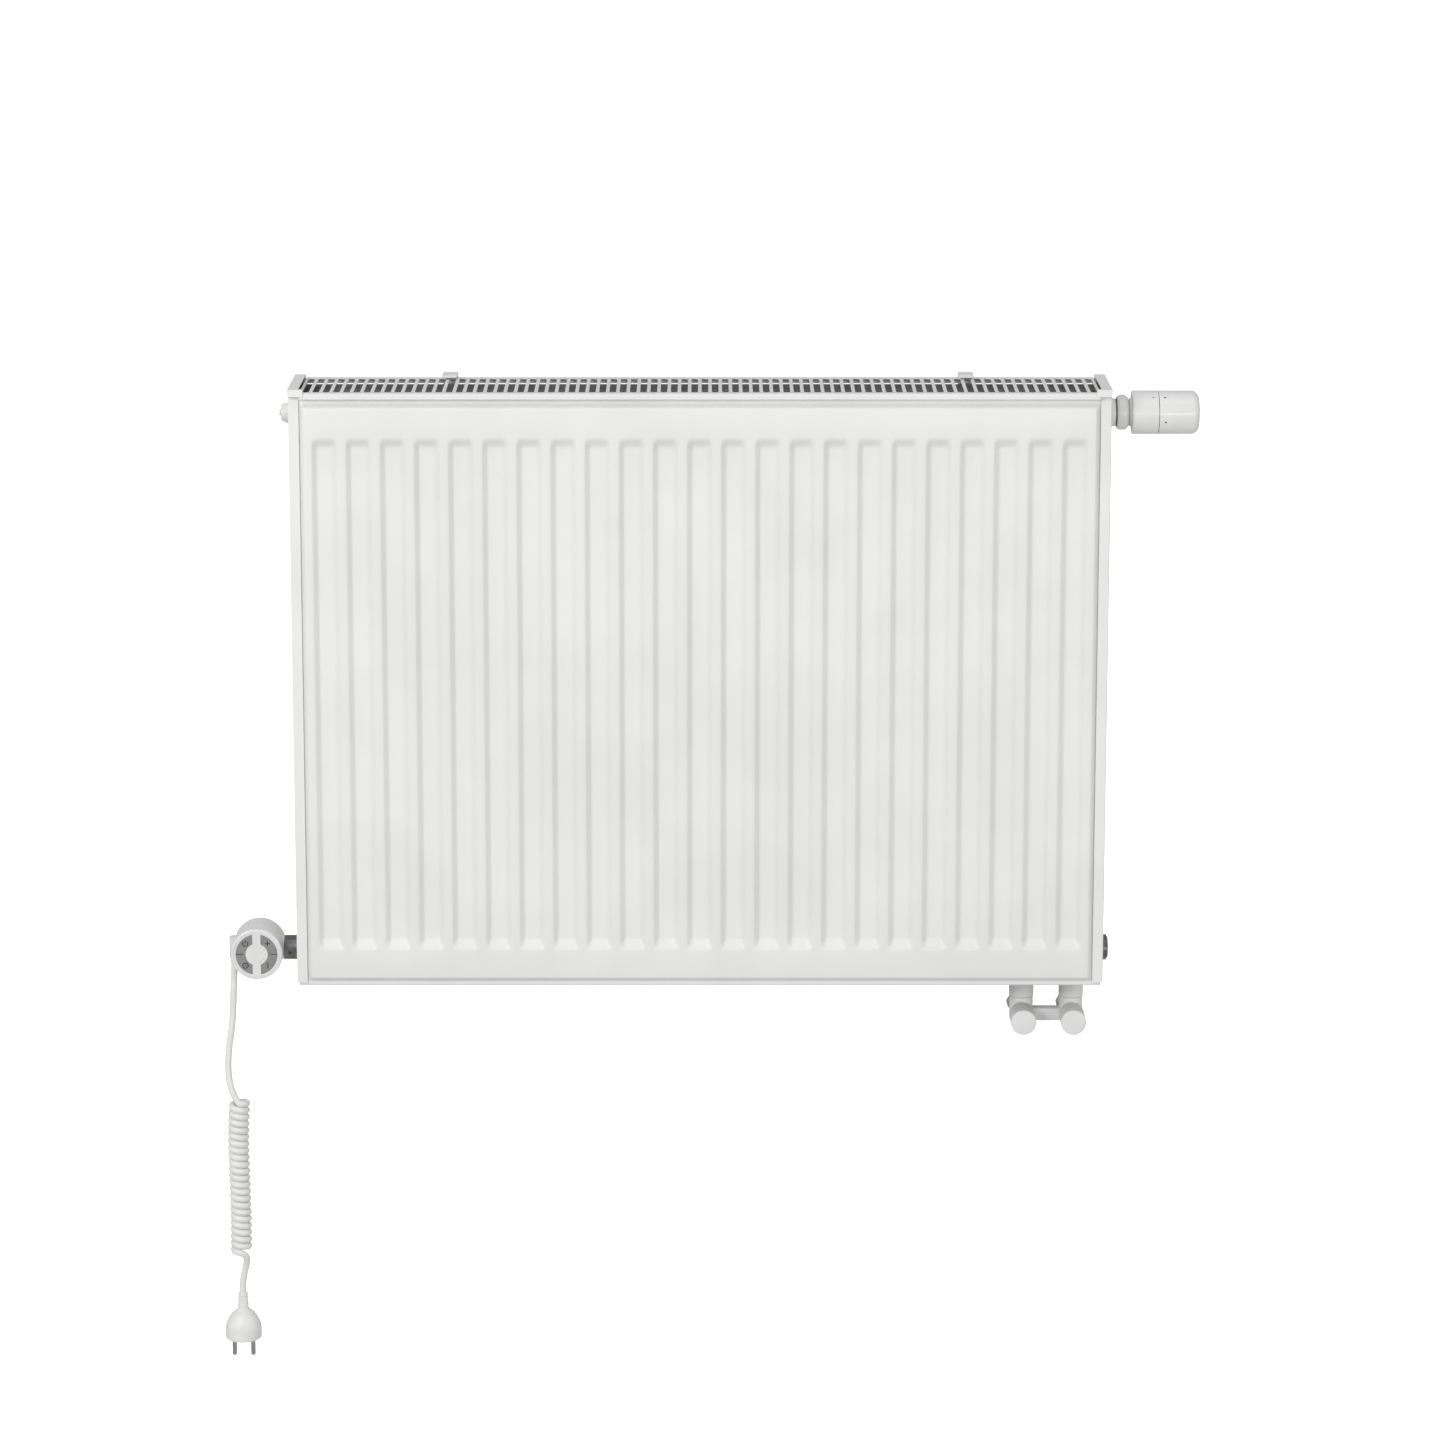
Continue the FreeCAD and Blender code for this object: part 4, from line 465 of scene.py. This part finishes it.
# How far each CAD node's sharp edges are rounded, in millimetres.
EDGES = {"side_cover_left": 0.5, "side_cover_right": 0.5, "top_grille": 0.3, "bracket_catch_left": 0.6,
         "bracket_catch_right": 0.6, "bracket_rail_left": 0.6, "bracket_rail_right": 0.6,
         "bracket_feet": 0.6, "h_valve_body": 0.4, "pipe_nuts": 0.4, "blanking_plug": 0.4,
         "vent_outlet_ring": 0.3, "vent_screw": 0.2, "keypad_plate": 0.15}
for node, width in EDGES.items():
    soften(frame["nodes"][node], width)
paint(frame["nodes"]["keypad_plate"], MATT_ABS)


# ---- catch springs ----

SPRING_WIRE, SPRING_PITCH, CATCH_TRAVEL = 0.45, 5, 10


def catch_spring(side, around=20, ring=8):
    """The wire spring above a catch's seat, built at rest: it does not shorten as the catch is lifted."""
    node = "bracket_spring_" + side
    low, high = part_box(node)
    centre, wire = (low + high)/2, SPRING_WIRE*MM
    radius, height = (high.x - low.x)/2 - wire, high.z - low.z - 2*wire
    count = round(height/(SPRING_PITCH*MM)*around)
    corners, faces = [], []
    for k in range(count + 1):
        angle = 2*math.pi*k/around
        out = Vector((math.cos(angle), math.sin(angle), 0))
        spot = Vector((centre.x, centre.y, low.z + wire + height*k/count)) + out*radius
        corners += [spot + (out*math.cos(2*math.pi*j/ring) + UP*math.sin(2*math.pi*j/ring))*wire
                    for j in range(ring)]
    for k in range(count):
        faces += [(k*ring + j, k*ring + (j + 1) % ring, (k + 1)*ring + (j + 1) % ring, (k + 1)*ring + j)
                  for j in range(ring)]
    faces += [tuple(range(ring)), tuple(range(count*ring, (count + 1)*ring))]
    piece = piece_from("catch_spring_" + side, corners, faces, STEEL_WIRE, "radiator", "spring_steel", node)
    turn_outwards(piece)
    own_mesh(piece)


catch_spring("left")
catch_spring("right")


# ---- thermostatic valve ----

VALVE_AXIS = Vector((1, 0, 0))
ROSETTE_BORE, ROSETTE_RADIUS = 10.6, 14
NUT_BORE, NUT_HOLLOW, NUT_RADIUS, NUT_LIP = 12.15, 15, 17.3, 1.6
FLANGE_BORE, FLANGE_RADIUS, FLANGE = 5, 14.7, 1.6
NECK_BORE, NECK_RADIUS, COLLAR_RADIUS, COLLAR = 10, 12, 13.9, 2.6
SLEEVE_RADIUS, SLEEVE_LENGTH, KNOB_RADIUS, SHELL_WALL = 21.45, 25.5, 21.35, 2
SEAM_GAP, KNOB_ROUNDING, KNOB_TOP = 0.5, 7.5, 2.5
GUIDE_BORE, GUIDE_RADIUS = 12.05, 14
VALVE_BASE = Vector((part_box("side_cover_right")[1].x, middle("trv_knob").y, middle("trv_knob").z))


def along_valve(node):
    """The two ends of a valve piece along the valve's axis, in millimetres from the side cover."""
    low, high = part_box(node)
    return (low.x - VALVE_BASE.x)/MM, (high.x - VALVE_BASE.x)/MM


def valve_head():
    """The turned plastic pieces of the head; returns where the knob meets the sleeve."""
    start, end = along_valve("valve_rosette")
    lathe("rosette", [(ROSETTE_BORE, start, 0), (ROSETTE_RADIUS, start, 0.5), (ROSETTE_RADIUS, end, 1.2),
                      (ROSETTE_BORE, end, 0)], VALVE_BASE, VALVE_AXIS, ABS, "radiator", "white_abs",
          "valve_rosette")
    start, end = along_valve("trv_union_nut")
    lathe("union_nut", [(NUT_HOLLOW, start, 0), (NUT_RADIUS, start, 3), (NUT_RADIUS, end, 5),
                        (NUT_BORE, end, 0.4), (NUT_BORE, end - NUT_LIP, 0), (NUT_HOLLOW, end - NUT_LIP, 0)],
          VALVE_BASE, VALVE_AXIS, ABS, "union_nut", "white_abs", "trv_union_nut")
    seam, cap = along_valve("trv_knob")
    shell_end = seam - SEAM_GAP
    shell_start = shell_end - SLEEVE_LENGTH
    floor = shell_start + SHELL_WALL
    inside, hub_end = along_valve("trv_base_sleeve")
    lathe("sleeve", [(FLANGE_BORE, inside, 0), (FLANGE_RADIUS, inside, 0.5),
                     (FLANGE_RADIUS, inside + FLANGE, 0), (NECK_RADIUS, inside + FLANGE, 0),
                     (NECK_RADIUS, shell_start - COLLAR, 0), (COLLAR_RADIUS, shell_start - COLLAR, 0.4),
                     (COLLAR_RADIUS, shell_start, 0), (SLEEVE_RADIUS, shell_start, 0.7),
                     (SLEEVE_RADIUS, shell_end, 0.3), (SLEEVE_RADIUS - SHELL_WALL, shell_end, 0),
                     (SLEEVE_RADIUS - SHELL_WALL, floor, 0), (NECK_RADIUS, floor, 0),
                     (NECK_RADIUS, hub_end, 0.3), (NECK_BORE, hub_end, 0), (NECK_BORE, floor, 0),
                     (FLANGE_BORE, floor, 0)],
          VALVE_BASE, VALVE_AXIS, ABS, "radiator", "white_abs", "trv_base_sleeve", segments=128)
    ceiling = cap - KNOB_TOP
    hollow = KNOB_RADIUS - SHELL_WALL
    lathe("knob", [(0, cap, 0), (KNOB_RADIUS, cap, KNOB_ROUNDING), (KNOB_RADIUS, seam, 0.3),
                   (hollow, seam, 0), (hollow, cap - KNOB_ROUNDING, 0),
                   (hollow - (KNOB_ROUNDING - KNOB_TOP), ceiling, 0), (GUIDE_RADIUS, ceiling, 0),
                   (GUIDE_RADIUS, seam + 2, 0.3), (GUIDE_BORE, seam + 2, 0), (GUIDE_BORE, ceiling, 0),
                   (0, ceiling, 0)],
          VALVE_BASE, VALVE_AXIS, POLISHED_ABS, "knob", "white_abs", "trv_knob", segments=128)
    return seam


def round_mark(name, radius, along, angle, long, wide, material, body, height=0.12):
    """A small printed or moulded mark on the valve's round side; angle is above the front, in degrees."""
    steps = 8
    corners, faces = [], []
    for layer in (-0.1, height):
        for i in range(steps + 1):
            turn = math.radians(angle) + (i/steps - 0.5)*wide/radius
            # The mark's ends are rounded in plan, as a pill.
            reach = long/2*math.sqrt(max(1 - (2*i/steps - 1)**2, 0.04))
            for end in (-reach, reach):
                distance = (radius + layer)*MM
                corners.append(VALVE_BASE + Vector(((along + end)*MM, -distance*math.cos(turn),
                                                    distance*math.sin(turn))))
    row = 2*(steps + 1)
    for i in range(steps):
        a, b, c, d = 2*i, 2*i + 1, 2*i + 3, 2*i + 2
        faces += [(a, b, c, d), (row + d, row + c, row + b, row + a), (a, d, row + d, row + a),
                  (b, row + b, row + c, c)]
    last = 2*steps
    faces += [(0, row, row + 1, 1), (last, last + 1, row + last + 1, row + last)]
    mark = piece_from(name, corners, faces, material, body, "white_abs")
    turn_outwards(mark)
    return crease(mark)


INDEX_ANGLE, MARK_STEP, MARK_PLACE, MARK_SIZE = 52, 70, 6, 1.8
seam = valve_head()
round_mark("sleeve_index", SLEEVE_RADIUS, seam - MARK_PLACE, INDEX_ANGLE, 2.2, 0.8, DARK_INK, "radiator")
round_mark("knob_mark_0", KNOB_RADIUS, seam + 5.5, INDEX_ANGLE, 2.6, 1.5, DARK_INK, "knob")
for number in range(1, 5):
    round_mark("knob_mark_%d" % number, KNOB_RADIUS, seam + MARK_PLACE, INDEX_ANGLE - MARK_STEP*number,
               MARK_SIZE, MARK_SIZE, DARK_INK, "knob")


# ---- H-valve ----

CAP_RADIUS, CAP_BORE, CAP_FLOOR = 12.8, 10.05, 2.5


def turned_cap(name, node, body):
    """A plain round cap, hollow at the back, on one of the valve's two ways."""
    low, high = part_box(node)
    base = Vector(((low.x + high.x)/2, high.y, (low.z + high.z)/2))
    length = (high.y - low.y)/MM
    lathe(name, [(0, length, 0), (CAP_RADIUS, length, 1.3), (CAP_RADIUS, 0, 0.4), (CAP_BORE, 0, 0),
                 (CAP_BORE, length - CAP_FLOOR, 0), (0, length - CAP_FLOOR, 0)],
          base, Vector((0, -1, 0)), MATT_ABS, body, "white_abs", node)


turned_cap("supply_cap", "valve_cap_supply", "supply_cap")
turned_cap("return_cap", "valve_cap_return", "return_cap")


# ---- control head: keys, icons and lights ----

HEAD = middle("keypad_plate")
KEY_OUTER, KEY_INNER, KEY_BAR, KEY_SPLIT, KEY_CORNER = 20.8, 11.3, 8.5, 0.3, 1.4
KEYS = {"timer": (-1, 1), "power": (-1, -1), "plus": (1, 1), "minus": (1, -1)}


def arc(radius, start, end, count=24):
    angles = [start + (end - start)*i/count for i in range(count + 1)]
    return [Vector((radius*math.cos(angle), radius*math.sin(angle))) for angle in angles]


def bend(start, corner, end, count=6):
    """Points on a curve that cuts a corner, without its two ends."""
    return [start*(1 - i/count)**2 + corner*2*(i/count)*(1 - i/count) + end*(i/count)**2
            for i in range(1, count)]


def key_outline():
    """A quarter ring cut off by the bar and the split, with rounded corners beside the bar."""
    half, split = KEY_BAR/2, KEY_SPLIT/2
    outer_corner = Vector((half, math.sqrt(KEY_OUTER**2 - half**2)))
    inner_corner = Vector((half, math.sqrt(KEY_INNER**2 - half**2)))
    outer = arc(KEY_OUTER, math.asin(split/KEY_OUTER),
                math.atan2(outer_corner.y, outer_corner.x) - KEY_CORNER/KEY_OUTER)
    inner = arc(KEY_INNER, math.atan2(inner_corner.y, inner_corner.x) - KEY_CORNER/KEY_INNER,
                math.asin(split/KEY_INNER))
    top = outer_corner - Vector((0, KEY_CORNER))
    bottom = inner_corner + Vector((0, KEY_CORNER))
    return (outer + bend(outer[-1], outer_corner, top) + [top, bottom]
            + bend(bottom, inner_corner, inner[0]) + inner)


def slab(name, outline, side, end, front, back, material, body, slot, *stands_for):
    """A flat piece cut to an outline in the head's face, mirrored to its quarter."""
    count = len(outline)
    corners = [Vector((HEAD.x + side*p.x*MM, y, HEAD.z + end*p.y*MM)) for y in (front, back) for p in outline]
    faces = [tuple(range(count)), tuple(range(count, 2*count))]
    faces += [(i, (i + 1) % count, count + (i + 1) % count, count + i) for i in range(count)]
    piece = piece_from(name, corners, faces, material, body, slot, *stands_for)
    turn_outwards(piece)
    return crease(piece)


def stroke(name, points, width, front, material, body, slot, closed=False):
    """A printed line through points in the head's face."""
    count = len(points)
    sides = []
    for i, point in enumerate(points):
        before = points[i - 1] if closed or i else point
        after = points[(i + 1) % count] if closed or i < count - 1 else point
        normal = Vector((before.y - after.y, after.x - before.x)).normalized()*width/2
        sides.append((point + normal, point - normal))
    corners = [Vector((HEAD.x + p.x*MM, y, HEAD.z + p.y*MM))
               for y in (front, front - 0.06*MM) for pair in sides for p in pair]
    row, faces = 2*count, []
    for i in range(count if closed else count - 1):
        a, b = 2*i, 2*i + 1
        d, c = (2*i + 2) % row, (2*i + 3) % row
        faces += [(a, b, c, d), (row + a, row + b, row + c, row + d), (a, d, row + d, row + a),
                  (b, c, row + c, row + b)]
    if not closed:
        faces += [(0, 1, row + 1, row), (row - 2, row - 1, 2*row - 1, 2*row - 2)]
    piece = piece_from(name, corners, faces, material, body, slot)
    turn_outwards(piece)
    return crease(piece)


ICON_RADIUS, ICON_LINE, ICON_GAP = 2.7, 0.9, 35
ICON_PLACE = Vector((11.2, 11.4))
# The painted shade line along the top keys' lower edges: its width, its ends and its height, in millimetres.
EDGE_LINE, EDGE_FROM, EDGE_TO, EDGE_HEIGHT = 0.6, 14, 20.2, 0.45
LIGHT_COUNT, LIGHT_PLACE, LIGHT_STEP, LIGHT_RADIUS, LIGHT_LINE = 5, 8.6, 30, 0.55, 0.5


def sign(name, key, points, front, width=ICON_LINE, closed=False):
    """One printed line on a key, of its icon, or a painted shade line along its edge."""
    stroke(name, points, width, front, BLACK_INK, key + "_key", "grey_silicone", closed=closed)


def icons(front):
    """Generic signs on the four keys."""
    timer, power, plus, minus = (Vector((side*ICON_PLACE.x, end*ICON_PLACE.y)) for side, end in
                                 (KEYS[key] for key in ("timer", "power", "plus", "minus")))
    gap = math.radians(ICON_GAP)
    sign("icon_timer_ring", "timer",
         [timer + p for p in arc(ICON_RADIUS, math.pi/2 + gap, math.pi*5/2 - gap)], front)
    sign("icon_timer_bar", "timer", [timer + Vector((0, 0.6)), timer + Vector((0, 3.4))], front)
    sign("icon_power_ring", "power", [power + p for p in arc(ICON_RADIUS, 0, 2*math.pi)[:-1]], front,
         closed=True)
    sign("icon_power_hands", "power", [power + Vector((0, 1.4)), power, power + Vector((1, -0.4))], front,
         width=ICON_LINE*0.8)
    across, up = Vector((ICON_RADIUS, 0)), Vector((0, ICON_RADIUS))
    sign("icon_plus_bar", "plus", [plus - across, plus + across], front)
    for number, side in enumerate((-1, 1)):
        sign("icon_plus_arm_%d" % number, "plus", [plus + Vector((0, side*ICON_LINE/2)), plus + side*up],
             front)
    sign("icon_minus_bar", "minus", [minus - up, minus + up], front)


def keypad():
    """The four silicone keys with their signs, a painted shade line along the lower edge of each top key, and
    the light windows between them.
    """
    for name, (side, end) in KEYS.items():
        low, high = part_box("button_" + name)
        key = slab(name + "_key_top", key_outline(), side, end, low.y, high.y, SILICONE, name + "_key",
                   "grey_silicone", "button_" + name)
        soften(key, 0.2, angle=50)
    key_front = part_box("button_timer")[0].y
    icons(key_front)
    # Painted shade: a dark line along the lower edge of each top key, standing for the shadow in the gap
    # between the keys.
    for name, side in (("timer", -1), ("plus", 1)):
        sign(name + "_key_gap_shade", name, [Vector((side*EDGE_FROM, EDGE_HEIGHT)),
                                        Vector((side*EDGE_TO, EDGE_HEIGHT))], key_front, width=EDGE_LINE)
    plate_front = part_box("keypad_plate")[0].y
    for number in range(LIGHT_COUNT):
        angle = math.radians(LIGHT_STEP*(number - (LIGHT_COUNT - 1)/2))
        spot = Vector((LIGHT_PLACE*math.cos(angle), LIGHT_PLACE*math.sin(angle)))
        stroke("light_window_%d" % number, [spot + p for p in arc(LIGHT_RADIUS, 0, 2*math.pi, 12)[:-1]],
               LIGHT_LINE, plate_front, PALE_INK, "radiator", "white_abs", closed=True)


keypad()


# ---- mains lead ----

BOSS = middle("cable_gland")
HUB = middle("heater_collar").z
LEAD_RADIUS, CURL_RADIUS, CURL_TURNS = 3.5, 11.2, 22
# Each point is left of the gland's axis, behind it and below the hub, in millimetres.
LEAD = [(0, 0, 6), (1.6, 0, 30), (2.6, 0, 56), (4.2, 0, 82), (8.4, 0, 107), (9.4, -1.5, 130),
        (6.5, -5, 147), (2, -7.4, 156)]
CURL = [(-1.5, 0, 162), (0.5, 0, 201), (-0.4, 0, 242), (-1.2, 0, 283), (-0.7, 0, 321)]
TAIL = [(-5, -6.6, 323), (-7, -3.6, 329), (-5, -0.8, 338), (-2, 0, 350), (-1.4, 0, 360),
        (-1.4, 0, 376)]


def hanging(route):
    return [Vector((BOSS.x - left*MM, BOSS.y + behind*MM, HUB - below*MM))
            for left, behind, below in route]


def curve_through(name, points, resolution):
    """A smooth open curve that has these points as its control points."""
    curve = bpy.data.curves.new(name, "CURVE")
    curve.dimensions = "3D"
    curve.resolution_u = resolution
    spline = curve.splines.new("NURBS")
    spline.points.add(len(points) - 1)
    for item, point in zip(spline.points, points):
        item.co = (*point, 1)
    spline.order_u = 3
    spline.use_endpoint_u = True
    item = bpy.data.objects.new(name, curve)
    bpy.context.scene.collection.objects.link(item)
    return item


def points_along(route):
    """Points read from a route's own smooth curve."""
    guide = curve_through("guide", route, 16)
    mesh = bpy.data.meshes.new_from_object(guide)
    points = [vertex.co.copy() for vertex in mesh.vertices]
    bpy.data.objects.remove(guide)
    return points


def helix(route, radius, turns, per_turn=18):
    """Control points of the curly stretch, wound to the right from the front of its route."""
    line = points_along(route)
    reach = [0]
    for a, b in zip(line, line[1:]):
        reach.append(reach[-1] + (b - a).length)
    points, segment = [], 0
    total = turns*per_turn
    for k in range(total + 1):
        wanted = reach[-1]*k/total
        while segment < len(line) - 2 and reach[segment + 1] < wanted:
            segment += 1
        share = (wanted - reach[segment])/(reach[segment + 1] - reach[segment])
        centre = line[segment].lerp(line[segment + 1], share)
        along = (line[segment + 1] - line[segment]).normalized()
        side = along.cross(Vector((0, 1, 0))).normalized()
        depth = along.cross(side)
        angle = math.pi/2 - 2*math.pi*k/per_turn
        points.append(centre + (side*math.cos(angle) + depth*math.sin(angle))*radius)
    return points


def mains_lead():
    turn_radius = (CURL_RADIUS - LEAD_RADIUS)*MM
    coil = helix(hanging(CURL), turn_radius, CURL_TURNS)
    points = hanging(LEAD) + coil + hanging(TAIL)
    lead = curve_through("mains_lead", points, 3)
    lead.data.bevel_depth = LEAD_RADIUS*MM
    lead.data.bevel_resolution = 5
    lead.data.use_fill_caps = True
    lead.data.materials.append(PVC)
    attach(lead, "radiator")
    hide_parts("cord_lead", "cord_curl", "cord_tail")
    return lead


NECK, NECK_RIBS, RIB_PITCH, RIB_DEPTH, PLUG_RADIUS = 18, 4, 3.5, 0.6, 18.5


def plug():
    """A round moulded plug with a ribbed neck and a grip that narrows towards the lead."""
    low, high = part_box("plug_body")
    base = Vector(((low.x + high.x)/2, (low.y + high.y)/2, high.z))
    length = (high.z - low.z)/MM
    neck = [(LEAD_RADIUS, 0, 0), (4.9, 0, 0.4)]
    for rib in range(NECK_RIBS):
        start, outer = 3 + RIB_PITCH*rib, 5 + 0.2*rib
        neck += [(outer, start, 0), (outer - RIB_DEPTH, start + 0.4, 0), (outer - RIB_DEPTH, start + 1.4, 0),
                 (outer + 0.2, start + 1.8, 0)]
    grip = [(6.1, NECK, 0.5), (11, NECK + 2.5, 2.5), (16.5, NECK + 11, 4), (PLUG_RADIUS, NECK + 17, 3),
            (PLUG_RADIUS, length, 2.2), (0, length, 0), (0, NECK, 0), (LEAD_RADIUS, NECK, 0)]
    return lathe("plug_shell", neck + grip, base, -UP, PVC, "radiator", "white_pvc", "plug_body")


lead = mains_lead()
plug_shell = plug()
paint(frame["nodes"]["plug_pins"], STAINLESS)


# ---- stage, light and camera ----

FLOOR_DROP, FLOOR_REACH = 12*MM, 6
SEEN_WHITE, LIGHTING_WHITE = 1.05, 0.5

# Each softbox: where it is, where it faces, its width and height, and its power in watts.
SOFTBOXES = {
    "key": ((-2.3, -3.2, 1.7), (0, 0, 0), 1.2, 1.2, 64),
    "top": ((0, -0.9, 2.4), (0, 0, 0), 2, 1.2, 5),
    "fill": ((2.6, -3.2, 0.4), (0, 0, 0), 1.4, 1.4, 22),
    "knob_strip": ((0.79, -3.39, 0.27), (0.47, 0, 0.27), 1.1, 0.14, 5),
}

SENSOR, LENS, SHIFT_X, SHIFT_Y = 36, 117.1, 0.011, -0.15
CAMERA_SIDE, CAMERA_DISTANCE, CAMERA_HEIGHT, CAMERA_DIP = -3.8*MM, 4.5, 1.049, 10.8


def stage():
    """A plain white floor well below the radiator, which hangs from its wall brackets."""
    height = cad_box[0].z - FLOOR_DROP
    corners = [(x*FLOOR_REACH, y*FLOOR_REACH, height) for x, y in ((-1, -1), (1, -1), (1, 1), (-1, 1))]
    mesh = bpy.data.meshes.new("floor")
    mesh.from_pydata(corners, [], [(0, 1, 2, 3)])
    floor = bpy.data.objects.new("floor", mesh)
    bpy.context.scene.collection.objects.link(floor)
    mesh.materials.append(finish("studio_floor", "#FFFFFF", 0.9, Emission_Color=(1, 1, 1, 1),
                                 Emission_Strength=1.0)[0])
    # It looks white, but throws no light up at the radiator.
    floor.visible_diffuse = False
    floor.visible_glossy = False


def softbox(name, place, target, width, height, power):
    light = bpy.data.lights.new(name, "AREA")
    light.shape = "RECTANGLE"
    light.size = width
    light.size_y = height
    light.energy = power
    item = bpy.data.objects.new(name, light)
    bpy.context.scene.collection.objects.link(item)
    item.location = place
    item.rotation_euler = (Vector(target) - Vector(place)).to_track_quat("-Z", "Y").to_euler()


def surroundings():
    """A white world that the camera sees at full strength and the object sees dimmed."""
    world = bpy.data.worlds.new("white_studio")
    bpy.context.scene.world = world
    world.use_nodes = True
    tree = world.node_tree
    tree.nodes.clear()
    ray = add(tree, "ShaderNodeLightPath")
    strength = add(tree, "ShaderNodeMapRange", values={"To Min": LIGHTING_WHITE, "To Max": SEEN_WHITE},
                   links={"Value": ray.outputs["Is Camera Ray"]})
    background = add(tree, "ShaderNodeBackground", values={"Color": (1, 1, 1, 1)},
                     links={"Strength": strength.outputs["Result"]})
    add(tree, "ShaderNodeOutputWorld", links={"Surface": background.outputs["Background"]})


def camera():
    """A long lens above the radiator's middle, looking down a little at its front."""
    lens = bpy.data.cameras.new("camera")
    lens.sensor_width = SENSOR
    lens.lens = LENS
    lens.shift_x = SHIFT_X
    lens.shift_y = SHIFT_Y
    item = bpy.data.objects.new("camera", lens)
    bpy.context.scene.collection.objects.link(item)
    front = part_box("front_panel_outer_sheet")[0].y
    item.location = (CAMERA_SIDE, front - CAMERA_DISTANCE, CAMERA_HEIGHT)
    item.rotation_euler = (math.radians(90 - CAMERA_DIP), 0, 0)
    lens.clip_end = 50
    bpy.context.scene.camera = item


stage()
surroundings()
for name, settings in SOFTBOXES.items():
    softbox(name, *settings)
camera()
bpy.context.scene.view_settings.view_transform = "Standard"
